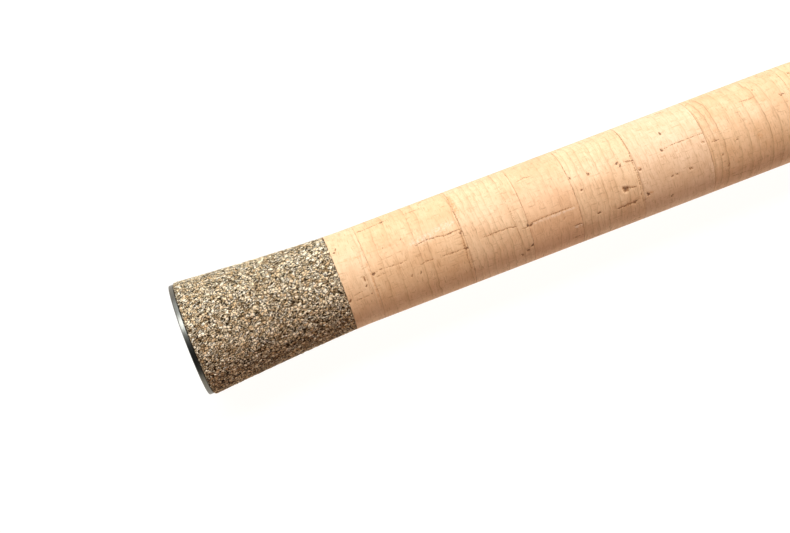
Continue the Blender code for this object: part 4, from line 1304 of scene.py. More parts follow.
@dataclass
class CorkGrip:
    """A grip of cork shives, glued end to end on the blank and sanded to one line."""

    stem: str
    nodes: str
    shives: tuple[Shive, ...]
    line: Radius
    sides: int = 84
    levels: int = 2
    joint_gap: float = 0.012
    seed: int = 11
    marks_per_mm: float = 1.9
    in_view: tuple[float, float] = (-68.0, 62.0)
    skin: float = 0.8
    glue_width: float = 0.3
    glue_tone: float = 0.7
    beyond: int = 3
    faint: float = 0.2
    pits_to: float = 0.45
    cracks_to: float = 0.85
    crack_lengths: tuple[float, ...] = (1.2, 2.0, 3.0, 5.0, 8.0)
    stain_length: float = 1.2
    sways: tuple[tuple[int, float], ...] = ((1, 0.5), (2, 0.3), (5, 0.12), (9, 0.07))

    def build(self) -> None:
        """Turn each shive and work its growth lines, cracks and pits into it."""
        for number, shive in enumerate(self.shives, 1):
            high, low = shive.end - self.joint_gap, shive.start + self.joint_gap
            outside = [(x, self.line(x)) for x in rows(high, low, 1.0, 0.1)]
            piece = cork_ring(f"{self.stem}_{number}", outside, self.sides, self.levels)
            self.grow(piece, shive, random.Random(self.seed * 100 + number))
            smooth(piece, 60.0)
            finished(piece, Body.HANDLE, shive.finish, f"{self.nodes}_{number}")

    def grow(self, piece: Piece, shive: Shive, chance: random.Random) -> None:
        """Store the shive's growth lines and marks, and sink its cracks and pits.

        Args:
            piece: the turned shive.
            shive: its lines and marks.
            chance: its own source of chance.
        """
        spots = places(piece)
        turn, reach = round_the_rod(spots)
        radius = self.line((shive.start + shive.end) / 2)
        along = spots[:, 0] + self.wave(turn, chance)
        lines = shive.lines or self.chance_lines(shive, chance)
        stations = np.array([x for x, _ in lines])
        steps = np.diff(stations)
        ends = (stations[0] - steps[0] * self.beyond, stations[-1] + steps[-1] * self.beyond)
        stations = np.array([ends[0], *stations, ends[1]])
        order = np.arange(len(lines)) + 0.5
        order = np.array([order[0] - self.beyond, *order, order[-1] + self.beyond])
        depths = [self.faint, *[depth for _, depth in lines], self.faint]
        middles = (stations[1:] + stations[:-1]) / 2
        cover = {mark: np.zeros(len(spots)) for mark in Mark}
        sink = np.zeros(len(spots))
        skin = reach > radius * self.skin
        for stroke in (*shive.marks, *self.chance_marks(shive, chance)):
            share = np.where(skin, stroke.cover(spots[:, 0], turn, radius), 0.0)
            cover[stroke.mark] = np.maximum(cover[stroke.mark], share * stroke.strength)
            sink = np.maximum(sink, share * stroke.depth)
        glue = np.clip(1.0 - (shive.end - spots[:, 0]) / self.glue_width, 0.0, 1.0) * shive.joint
        glue = np.where(skin, glue, 0.0) * self.glue_tone
        cover[Mark.CRACK] = np.maximum(cover[Mark.CRACK], glue)
        spots[:, 1:] *= (1.0 - sink / np.maximum(reach, 1.0))[:, None]
        reshape(piece, spots)
        set_attribute(piece, "ring_phase", np.interp(along, stations, order))
        set_attribute(piece, "ring_pace", np.interp(along, middles, np.diff(stations) / np.diff(order)))
        set_attribute(piece, "ring_depth", np.interp(along, stations, depths))
        for mark in Mark:
            set_attribute(piece, mark.value, cover[mark])

    def wave(self, turn: np.ndarray, chance: random.Random) -> np.ndarray:
        """How far the growth lines wander along the rod.

        Args:
            turn: each vertex's angle round the rod, in degrees.
            chance: the shive's own source of chance.

        Returns:
            How far they wander at each vertex, 0 at the side that the camera faces.
        """
        total = np.zeros(len(turn))
        for pace, size in self.sways:
            start = chance.uniform(0.0, math.tau)
            total += size * (np.sin(np.radians(turn) * pace + start) - math.sin(start))
        return total

    def chance_lines(self, shive: Shive, chance: random.Random) -> list[tuple[float, float]]:
        """Growth lines for a shive that has none of its own.

        Args:
            shive: the shive.
            chance: its own source of chance.

        Returns:
            Each line's place along the rod and its depth.
        """
        lines = [(shive.start + chance.uniform(1.5, 3.0), chance.uniform(0.3, 0.9))]
        while lines[-1][0] < shive.end - 2.5:
            lines.append((lines[-1][0] + chance.uniform(1.8, 4.2), chance.uniform(0.25, 1.0)))
        return lines

    def chance_marks(self, shive: Shive, chance: random.Random) -> list[Stroke]:
        """Cracks, pits and stains scattered over a shive, but not in view on one with its own.

        Args:
            shive: the shive.
            chance: its own source of chance.

        Returns:
            The marks.
        """
        made = []
        for _ in range(round((shive.end - shive.start) * self.marks_per_mm)):
            x = chance.uniform(shive.start + 0.5, shive.end - 0.5)
            turn = chance.uniform(-180.0, 180.0)
            kind = chance.random()
            length = min(chance.choice(self.crack_lengths), shive.end - 0.4 - x)
            sway = chance.uniform(-3.0, 3.0)
            strength = chance.uniform(0.45, 0.95)
            width = chance.uniform(0.22, 0.4)
            size = chance.uniform(0.25, 0.6)
            if shive.marks and self.in_view[0] < turn < self.in_view[1]:
                continue
            if kind < self.pits_to:
                made.append(pit(x, turn, size, strength))
            elif kind < self.cracks_to and length > 0.8:
                path = ((x, turn), (x + length / 2, turn + sway), (x + length, turn + sway / 2))
                made.append(crack(*path, width=width, strength=strength))
            else:
                path = ((x, turn), (x + self.stain_length, turn + sway))
                made.append(stain(*path, width=size * 1.6, strength=strength * 0.6))
        return made


@dataclass
class TrimRing:
    """A turned aluminium ring between a grip and the reel seat, with a groove cut in it."""

    start: float
    node: str
    length: float = 5.0
    radius: float = 12.15
    step: float = 0.6
    groove: float = 0.35
    gap: float = 0.05
    sides: int = 128

    def build(self) -> None:
        """Turn the ring."""
        low, high = self.start + self.gap, self.start + self.length - self.gap
        half, third = (high - low) / 2, (high - low) / 3
        steps = (
            (0.0, -self.step - 0.15),
            (0.15, -self.step),
            (third - 0.15, -0.08),
            (third + 0.1, 0.0),
            (half - 0.4, 0.0),
            (half - 0.3, -self.groove),
        )
        profile = [(high - x, self.radius + drop) for x, drop in steps]
        profile += [(low + x, self.radius + drop) for x, drop in reversed(steps)]
        profile += [(x, BLANK.bore(low)) for x in (low, high)]
        piece = turned(f"turned_{self.node}", profile, self.sides)
        finished(piece, Body.HANDLE, DARK_ALUMINIUM, self.node)


@dataclass
class ReelSeat:
    """The moulded seat body: a barrel with a saddle for the reel's foot, a thread and a keyway."""

    start: float = 207.65
    end: float = 321.55
    radius: float = 10.5
    bore: float = 8.4
    thread_radius: float = 10.2
    thread_start: float = 267.6
    thread_crest: float = 0.21
    thread_lead: float = 2.0
    thread_run_out: float = 2.0
    thread_margin: tuple[float, float] = (1.2, 1.0)
    thread_row: float = 0.25
    chamfer: float = 0.3
    saddle: tuple[float, float] = (229.1, 265.1)
    saddle_top: float = 11.2
    saddle_width: float = 13.0
    saddle_ramp: float = 2.5
    saddle_sink: float = 0.4
    well_rim: float = 1.1
    well_slope: float = 0.15
    well_depth: float = 0.22
    keyway_start: float = 249.6
    keyway_floor: float = 9.2
    keyway_width: float = 4.8
    keyway_past: float = 5.0
    sides: int = 96

    def build(self) -> None:
        """Turn the barrel, raise its thread, add the saddle and cut the keyway."""
        edge = self.chamfer
        profile = [(x, self.thread_radius) for x in rows(self.end, self.thread_start, self.thread_row)]
        profile += [(self.thread_start - edge, self.radius), (self.start + edge, self.radius)]
        profile += [(self.start, self.radius - edge), (self.start, self.bore), (self.end, self.bore)]
        barrel = turned("moulded_seat_body", profile, self.sides)
        push_out(barrel, self.thread)
        self.combine(barrel, self.make_saddle(), "UNION")
        half = self.keyway_width / 2
        low = (self.keyway_start, self.keyway_floor, -half)
        high = (self.end + self.keyway_past, self.radius + self.keyway_past, half)
        cutter = box("keyway_cutter", low, high)
        self.combine(barrel, cutter, "DIFFERENCE")
        smooth(barrel, 32.0)
        finished(barrel, Body.HANDLE, SEAT_NYLON, "seat_body")

    def thread(self, x: np.ndarray, radius: np.ndarray, angle: np.ndarray) -> np.ndarray:
        """The radius of the thread land, ridged along a helix between its run-outs.

        Args:
            x: each vertex's place along the rod.
            radius: its radius.
            angle: its angle from -Y, in radians.

        Returns:
            The new radii.
        """
        turns = x / self.thread_lead - angle / math.tau
        ridge = np.clip(0.5 + 0.9 * np.cos(math.tau * turns), 0.0, 1.0)
        rear, front = self.thread_margin
        ends = np.clip((x - self.thread_start - rear) / self.thread_run_out, 0.0, 1.0)
        ends *= np.clip((self.end - front - x) / self.thread_run_out, 0.0, 1.0)
        land = (radius > self.bore + 1.0) & (x > self.thread_start)
        return np.where(land, radius + self.thread_crest * ridge * ends, radius)

    def make_saddle(self) -> Piece:
        """The raised flat for the reel's foot, ramped at both ends, with a shallow well in it.

        Returns:
            The saddle, still apart from the barrel.
        """
        half = self.saddle_width / 2
        low, high = self.saddle
        block = box("saddle", (low, -self.saddle_top, -half), (high, -self.bore - self.saddle_sink, half))
        with edit_mode(block):
            bpy.ops.mesh.select_all(action="DESELECT")
            for edge in bmesh.from_edit_mesh(block.data).edges:
                near, far = edge.verts
                on_top = max(near.co.y, far.co.y) < (-self.saddle_top + 0.1) * MM
                if on_top and abs(near.co.x - far.co.x) < 1e-6:
                    edge.select_set(True)
            bmesh.update_edit_mesh(block.data)
            bpy.ops.mesh.bevel(offset=self.saddle_ramp * MM, segments=4, profile=0.5, affect="EDGES")
            bpy.ops.mesh.select_all(action="DESELECT")
            faces = bmesh.from_edit_mesh(block.data).faces
            min(faces, key=lambda face: face.calc_center_median().y - face.calc_area()).select_set(True)
            bmesh.update_edit_mesh(block.data)
            bpy.ops.mesh.inset(thickness=self.well_rim * MM, depth=0.0)
            bpy.ops.mesh.inset(thickness=self.well_slope * MM, depth=-self.well_depth * MM)
        return block

    def combine(self, piece: Piece, other: Piece, operation: str) -> None:
        """Join another piece to the first, or cut it away, and remove it."""
        apply_modifier(piece, "BOOLEAN", operation=operation, object=other, solver="EXACT")
        bpy.data.objects.remove(other, do_unlink=True)


@dataclass
class Hood:
    """A metal hood that clasps the reel's foot, and the plastic liner under its roof."""

    stem: str
    body: Body
    mouth: float
    back: float
    keyed: bool = False
    bore: float = 10.8
    wall: float = 1.2
    mouth_height: float = 7.6
    back_height: float = 4.4
    shoulder: float = 24.0
    slope: float = 22.0
    side: float = 5.0
    back_wall: float = 1.6
    tongue: float = 0.9
    tongue_angle: float = 10.5
    liner_gap: float = 0.3
    liner_length: float = 13.0
    liner_wall: float = 0.8
    liner_angle: float = 30.0
    sides: int = 144

    def build(self) -> None:
        """Make the hood and its liner."""
        self.make_shell()
        self.make_liner()

    @property
    def inward(self) -> float:
        """1 where the mouth looks along +X, or -1."""
        return 1.0 if self.mouth > self.back else -1.0

    def ceiling(self, x: np.ndarray) -> np.ndarray:
        """The height of the pocket over the bore at x, highest at the mouth."""
        share = np.clip((x - self.mouth) / (self.back - self.mouth), 0.0, 1.0)
        return self.mouth_height + (self.back_height - self.mouth_height) * share

    def lobe(self, angle: np.ndarray, reach: float = 0.0) -> np.ndarray:
        """1 over the reel's foot, falling smoothly to 0 beside it."""
        share = np.clip((np.abs(np.degrees(angle)) - self.shoulder - reach) / self.slope, 0.0, 1.0)
        return 0.5 + 0.5 * np.cos(math.pi * share)

    def make_shell(self) -> None:
        """Turn a sleeve and raise its pocket."""
        step, outer, edge = self.inward, self.bore + self.wall, 0.3
        floor = self.back + step * self.back_wall
        runs = rows(self.back + step * 0.9, self.mouth - step * 0.5, 1.0, 0.3)
        profile = [
            (self.back, outer - edge * 1.6),
            (self.back + step * edge, outer - edge * 0.4),
            (self.back + step * 0.6, outer),
            *[(x, outer) for x in runs],
            (self.mouth - step * 0.12, outer - 0.12),
            (self.mouth, outer - 0.45),
            (self.mouth, self.bore + 0.25),
            (self.mouth - step * 0.25, self.bore),
            *[(x, self.bore) for x in rows(self.mouth - step * 0.5, floor, 1.5, 0.3)],
            (floor, self.bore - 0.001),
            (self.back, self.bore - 0.001),
        ]
        piece = turned(f"turned_{self.stem}_hood", profile, self.sides)
        push_out(piece, self.raise_pocket)
        smooth(piece, 40.0)
        finished(piece, self.body, SATIN_ALUMINIUM, f"{self.stem}_hood")

    def raise_pocket(self, x: np.ndarray, radius: np.ndarray, angle: np.ndarray) -> np.ndarray:
        """The hood's radii, with its pocket raised and its tongue lowered.

        Args:
            x: each vertex's place along the rod.
            radius: its radius on the plain sleeve.
            angle: its angle from -Y, in radians.

        Returns:
            The new radii.
        """
        lift = self.ceiling(x)
        outside = radius > self.bore + self.wall * 0.45
        pocket = radius > self.bore - 0.0005
        inner = np.where(pocket, lift * self.lobe(angle), 0.0)
        raised = np.where(outside, lift * self.lobe(angle, self.side), inner)
        if self.keyed:
            away = 180.0 - np.abs(np.degrees(angle))
            dip = self.tongue * np.clip((self.tongue_angle + 2.0 - away) / 2.0, 0.0, 1.0)
            raised = raised - np.where(outside, 0.0, dip)
        return radius + raised

    def make_liner(self) -> None:
        """Bend a divided block into the liner that lies under the pocket's roof."""
        step = self.inward
        far = self.back + step * (self.back_wall + self.liner_gap)
        near = far + step * self.liner_length
        low, high = sorted((far, near))
        piece = box(f"moulded_{self.stem}_hood_liner", (low, 0.0, -1.0), (high, 1.0, 1.0))
        with edit_mode(piece):
            bpy.ops.mesh.subdivide(number_cuts=15)
        spots = places(piece)
        angle = np.radians(spots[:, 2] * self.liner_angle)
        top = self.bore + self.ceiling(spots[:, 0]) * self.lobe(angle) - self.liner_gap
        under = np.maximum(self.bore, top - self.liner_wall)
        radius = under + (top - under) * spots[:, 1]
        spots[:, 1], spots[:, 2] = -radius * np.cos(angle), radius * np.sin(angle)
        reshape(piece, spots)
        with edit_mode(piece):
            bpy.ops.mesh.normals_make_consistent(inside=False)
        smooth(piece)
        finished(piece, self.body, LINER_NYLON, f"{self.stem}_hood_liner")


@dataclass
class LockNut:
    """The nut that drives the sliding hood: a plain band, then flutes for the fingers."""

    start: float = 305.3
    end: float = 321.3
    radius: float = 13.2
    bore: float = 10.5
    chamfer: float = 0.9
    band: float = 2.6
    flutes: int = 12
    flute_depth: float = 0.7
    flute_ramp: float = 1.2
    lip: float = 0.35
    sides: int = 180

    def build(self) -> None:
        """Turn the nut and press its flutes."""
        groove = self.start + self.chamfer + self.band / 2
        profile = [
            (self.end, self.radius - self.chamfer),
            (self.end - self.lip, self.radius - self.chamfer * 0.45),
            (self.end - self.chamfer, self.radius - 0.02),
            *[(x, self.radius) for x in rows(self.end - 1.1, self.start + 3.4, 0.6, 0.2)],
            (groove + 0.35, self.radius),
            (groove + 0.25, self.radius - 0.25),
            (groove - 0.25, self.radius - 0.25),
            (groove - 0.35, self.radius),
            (self.start + self.chamfer, self.radius - 0.02),
            (self.start + self.lip, self.radius - self.chamfer * 0.45),
            (self.start, self.radius - self.chamfer),
            (self.start, self.bore + 0.5),
            (self.start + 0.5, self.bore),
            (self.end - 0.5, self.bore),
            (self.end, self.bore + 0.5),
        ]
        piece = turned("turned_lock_nut", profile, self.sides)
        push_out(piece, self.flute)
        smooth(piece, 45.0)
        finished(piece, Body.NUT, SATIN_ALUMINIUM, "lock_nut")

    def flute(self, x: np.ndarray, radius: np.ndarray, angle: np.ndarray) -> np.ndarray:
        """The nut's radii, hollowed by its flutes between its band and its chamfer.

        Args:
            x: each vertex's place along the rod.
            radius: its radius.
            angle: its angle from -Y, in radians.

        Returns:
            The new radii.
        """
        ramp = np.clip((x - self.start - self.chamfer - self.band) / self.flute_ramp, 0.0, 1.0)
        ramp *= np.clip((self.end - self.lip - x) / self.flute_ramp, 0.0, 1.0)
        hollow = (0.5 - 0.5 * np.cos(self.flutes * angle)) ** 0.8
        return np.where(radius > self.bore + 1.2, radius - self.flute_depth * hollow * ramp, radius)


@dataclass
class WindingCheck:
    """The thin aluminium cone that closes the fore grip on the blank."""

    start: float = 396.65
    end: float = 403.6
    radius: float = 9.4
    wall: float = 0.8
    sides: int = 128

    def build(self) -> None:
        """Turn the cone with a bead at each end."""
        foot = BLANK.bore(self.end) + self.wall
        hip, drop = self.start + 2.3, self.radius - self.wall
        profile = [
            (self.end, foot - 0.25),
            (self.end - 0.2, foot),
            (self.end - 1.0, foot + 0.02),
            (self.end - 1.15, foot + 0.2),
            (hip + 0.6, drop - 0.25),
            (hip, drop),
            (self.start + 1.1, self.radius - 0.15),
            (self.start + 0.95, self.radius - 0.3),
            (self.start + 0.75, self.radius - 0.3),
            (self.start + 0.6, self.radius),
            (self.start + 0.12, self.radius),
            (self.start, self.radius - 0.12),
            (self.start, BLANK.bore(self.start)),
            (self.end, BLANK.bore(self.end)),
        ]
        piece = turned("turned_winding_check", profile, self.sides)
        finished(piece, Body.HANDLE, SATIN_ALUMINIUM, "winding_check")


@dataclass
class Blanks:
    """The two hollow carbon tubes, and the whipping that strengthens the joint's mouth."""

    butt_start: float = 1.6
    butt_wall: float = 1.1
    edge: float = 0.1
    mouth: float = 1300.0
    joint_end: float = 1360.0
    tip_end: float = 2200.0
    run_out: float = 12.0
    tip_wall: float = 0.7
    socket: float = 50.0
    socket_bore: float = 1.65
    ledge: float = 0.5
    whipping_length: float = 32.0
    row: float = 60.0
    row_hold: float = 0.4
    sides: int = 56

    def build(self) -> None:
        """Draw both tubes and wind the whipping."""
        self.make_butt_blank()
        self.make_tip_blank()
        end = self.mouth + self.whipping_length
        Whipping("ferrule_whipping", self.mouth, end, TIP_BLANK).build()

    def outside(self, line: TaperLine, low: float, high: float) -> Profile:
        """A tube's outside, with both edges broken.

        Args:
            line: the tube's taper.
            low: its rear end.
            high: its front end.

        Returns:
            The outside's (x, radius) points, from the front.
        """
        runs = rows(high - self.edge, low + self.edge, self.row, self.row_hold)
        ends = [(x, line.at(run) - self.edge) for x, run in ((high, runs[0]), (low, runs[-1]))]
        return [ends[0], *[(x, line.at(x)) for x in runs], ends[1]]

    def make_butt_blank(self) -> None:
        """The butt section's tube, open at both ends."""
        profile = self.outside(BLANK, self.butt_start, BLANK.end)
        profile += [(x, BLANK.at(x) - self.butt_wall) for x in (self.butt_start, BLANK.end)]
        piece = turned("drawn_butt_blank", profile, self.sides)
        finished(piece, Body.HANDLE, CARBON, "butt_blank")

    def make_tip_blank(self) -> None:
        """The tip section's tube, which slips over the butt's and ends in the quiver's socket."""
        gap = BLANK.clearance
        clear = self.joint_end + gap
        run_out = clear + self.run_out
        socket, narrow = self.tip_end - self.socket, self.socket_bore - self.ledge
        profile = [
            *self.outside(TIP_BLANK, self.mouth, self.tip_end),
            (self.mouth, BLANK.at(self.mouth) + gap),
            (clear, BLANK.at(self.joint_end) + gap),
            (run_out, TIP_BLANK.at(run_out) - self.tip_wall - gap),
            (socket - self.run_out, narrow),
            (socket, narrow),
            (socket, self.socket_bore),
            (self.tip_end, self.socket_bore),
        ]
        piece = turned("drawn_tip_blank", profile, self.sides)
        finished(piece, Body.TIP_SECTION, CARBON, "tip_blank")


@dataclass
class Whipping:
    """A binding of lacquered thread round a blank, swollen over a guide's foot."""

    node: str
    start: float
    end: float
    line: TaperLine
    swell: float = 0.0
    half_width: float = 0.0
    toe: int = 0
    height: float = 0.8
    shoulder: float = 1.35
    fall: float = 32.0
    toe_slope: float = 4.0
    mouth_slope: float = 0.8
    mouth_share: float = 0.7
    seal: float = 0.02
    sides: int = 64

    def build(self) -> None:
        """Wind the binding, feathered down to the blank at both ends."""
        low, high = self.start, self.end
        steps = ((0.0, 0.1), (0.12, 0.35), (0.45, 0.7), (0.9, 0.9), (1.4, 1.0))
        outer = [(high - x, share) for x, share in steps]
        outer += [(x, 1.0) for x in rows(high - 1.5, low + 1.5, 0.8, 0.1)]
        outer += [(low + x, share) for x, share in reversed(steps)]
        profile = [(x, self.line.at(x) + share * self.height) for x, share in outer]
        profile += [(low, self.line.at(low) + self.seal), (high, self.line.at(high) + self.seal)]
        piece = turned(f"wound_{self.node}", profile, self.sides)
        if self.swell:
            push_out(piece, self.bulge)
        smooth(piece, 60.0)
        along = places(piece)[:, 0]
        set_attribute(piece, "end_gap", np.minimum(along - low, high - along))
        finished(piece, self.line.body, THREAD, self.node)

    def bulge(self, x: np.ndarray, radius: np.ndarray, angle: np.ndarray) -> np.ndarray:
        """The binding's radii, swollen on its -Y side over the foot, and sloped over its toe.

        Args:
            x: each vertex's place along the rod.
            radius: its radius.
            angle: its angle from -Y, in radians.

        Returns:
            The new radii.
        """
        half = self.half_width + self.line.clearance
        flat = math.degrees(math.atan2(half, self.line.bore(self.start))) * self.shoulder
        share = np.clip((np.abs(np.degrees(angle)) - flat) / self.fall, 0.0, 1.0)
        past_toe, past_mouth = x - self.start, self.end - x
        if self.toe > 0:
            past_toe, past_mouth = past_mouth, past_toe
        mouth = np.clip(past_mouth / self.mouth_slope, 0.0, 1.0)
        slope = np.clip(past_toe / self.toe_slope, 0.0, 1.0) ** 0.7
        slope = slope * (self.mouth_share + (1.0 - self.mouth_share) * mouth)
        outside = radius > self.line.at(x) + self.seal * 2
        return radius + np.where(outside, self.swell * slope * (0.5 + 0.5 * np.cos(math.pi * share)), 0.0)


@dataclass
class HookKeeper:
    """A wire bridge for the hook, bound to the blank just ahead of the fore grip."""

    start: float = 433.6
    span: float = 11.0
    rise: float = 4.6
    wire: float = 0.5
    foot: float = 8.0
    past_foot: float = 1.2
    power: float = 0.7
    bends: int = 12

    def build(self) -> None:
        """Bend the wire and wind its two bindings."""
        flat = -(BLANK.bore(self.start) + self.wire)
        x, end = self.start, self.start + self.span
        points = [Vector((x - self.foot, flat, 0.0)), Vector((x - self.foot / 2, flat, 0.0))]
        for share in np.linspace(0.0, 1.0, self.bends + 1):
            lift = self.rise * math.sin(math.pi * share) ** self.power
            points.append(Vector((x + self.span * share, flat - lift, 0.0)))
        points += [Vector((end + self.foot / 2, flat, 0.0)), Vector((end + self.foot, flat, 0.0))]
        piece = tube("bent_hook_keeper", points, self.wire)
        finished(piece, Body.HANDLE, GUIDE_STEEL, "hook_keeper")
        swell = 2 * self.wire + BLANK.clearance
        near, far = 2 * self.wire, self.foot + self.past_foot
        bound = ((x - far, x - near), (end + near, end + far))
        for number, ((low, high), toe) in enumerate(zip(bound, (-1, 1)), 1):
            Whipping(f"keeper_whipping_{number}", low, high, BLANK, swell, self.wire, toe).build()


@dataclass
class LineGuide:
    """A guide for the line: a ceramic ring in a steel frame, on feet bound to the blank."""

    number: int
    x: float
    opening: float
    rise: float
    reach: float
    foot: float
    wire: float
    feet: int
    line: TaperLine
    ring_wall: float = 1.2
    ring_width: float = 2.6
    holder_gap: float = 0.3
    holder_wall: float = 0.8
    holder_width: float = 1.5
    foot_width: float = 2.2
    foot_height: float = 0.7
    foot_rounding: float = 0.16
    toe_share: float = 0.55
    ankle_spread: float = 0.48
    toe_spread: float = 0.4
    leg_run: float = 5.0
    bed: float = 0.42
    spread: float = 48.0
    run: float = 1.2
    ring_sides: int = 64

    def build(self) -> None:
        """Make the ring, the frame and the bindings."""
        self.make_ring()
        parts = [self.make_holder()]
        for side in (-1, 1)[: self.feet]:
            parts += self.make_foot(side)
        piece = joined(parts, f"bent_{self.stem}_frame")
        smooth(piece, 40.0)
        finished(piece, self.line.body, GUIDE_STEEL, f"{self.stem}_frame")

    @property
    def stem(self) -> str:
        """What the guide's names start with."""
        return f"guide_{self.number}"

    @property
    def centre(self) -> float:
        """Where the ring's own axis lies, along Y."""
        return -(self.line.at(self.x) + self.rise)

    def round_section(self, middle: float, half_wide: float, half_high: float, steps: int = 16) -> Profile:
        """An oval section of a ring, as points round its middle radius."""
        turns = [math.tau * i / steps for i in range(steps)]
        return [(self.x + half_wide * math.sin(t), middle + half_high * math.cos(t)) for t in turns]

    def make_ring(self) -> None:
        """The polished ceramic ring, oval in section."""
        wall = self.ring_wall + self.holder_gap - 0.02
        profile = self.round_section(self.opening + wall / 2, self.ring_width / 2, wall / 2)
        piece = turned(f"polished_{self.stem}_ring", profile, self.ring_sides, y=self.centre)
        finished(piece, self.line.body, CERAMIC, f"{self.stem}_ring")

    def make_holder(self) -> Piece:
        """The steel band round the ceramic ring.

        Returns:
            The band.
        """
        inside = self.opening + self.ring_wall + self.holder_gap
        outside, half, edge = inside + self.holder_wall, self.holder_width / 2, 0.18
        profile = [
            (self.x + half, outside - edge),
            (self.x + half - edge, outside),
            (self.x - half + edge, outside),
            (self.x - half, outside - edge),
            (self.x - half, inside + edge),
            (self.x - half + edge, inside),
            (self.x + half - edge, inside),
            (self.x + half, inside + edge),
        ]
        return turned("holder", profile, self.ring_sides, y=self.centre)

    def make_foot(self, side: int) -> list[Piece]:
        """One foot with its legs, and the binding over it.

        Args:
            side: -1 towards the butt, or 1 towards the tip.

        Returns:
            The foot and its legs.
        """
        heel = self.x + side * self.reach
        toe = heel + side * self.foot
        bed = max(self.line.bore(heel), self.line.bore(toe))
        half = self.foot_width / 2
        low, high = sorted((heel, toe))
        sole = box("foot", (low, -bed - self.foot_height, -half), (high, -bed, half))
        spots = places(sole)
        at_toe = np.abs(spots[:, 0] - toe) < 0.01
        spots[at_toe, 2] *= self.toe_share
        upper = at_toe & (spots[:, 1] < -bed - 0.1)
        spots[upper, 1] = -bed - self.foot_height * self.toe_share
        reshape(sole, spots)
        with edit_mode(sole):
            bpy.ops.mesh.bevel(offset=self.foot_rounding * MM, segments=3, affect="EDGES")
        parts = [sole]
        middle = self.opening + self.ring_wall + self.holder_gap + self.holder_wall / 2
        alone = self.feet == 2 and side < 0
        for hand in (0,) if alone else (-1, 1):
            turn = math.radians(hand * self.spread)
            hip = Vector((self.x, self.centre + middle * math.cos(turn), middle * math.sin(turn)))
            ankle = Vector((heel + side * self.wire, -bed - self.wire, hand * self.ankle_spread))
            run = side * self.wire * self.leg_run
            toe_end = Vector((heel + run, -bed - self.wire * 0.9, hand * self.toe_spread))
            parts.append(tube("leg", [*leg_path(hip, ankle), toe_end], self.wire))
        low, high = sorted((heel + side * 3 * self.wire, toe + side * self.run))
        letter = "" if self.feet == 1 else "_a" if side < 0 else "_b"
        node = f"{self.stem}_whipping{letter}"
        Whipping(node, low, high, self.line, self.foot_height + self.bed, half, side).build()
        return parts


def leg_path(start: Vector, end: Vector, parts: int = 6) -> list[Vector]:
    """A leg from a guide's ring to its foot, bowed so that it meets the foot at a low angle.

    Args:
        start: where it leaves the ring.
        end: where it reaches the foot.
        parts: how many stretches it is drawn in.

    Returns:
        Points along the leg.
    """
    knee = start.lerp(end, 0.5)
    knee.x = start.x + (end.x - start.x) * 0.65
    knee.y = start.y + (end.y - start.y) * 0.8
    shares = [i / parts for i in range(parts + 1)]
    return [start * (1 - t) ** 2 + knee * 2 * t * (1 - t) + end * t * t for t in shares]


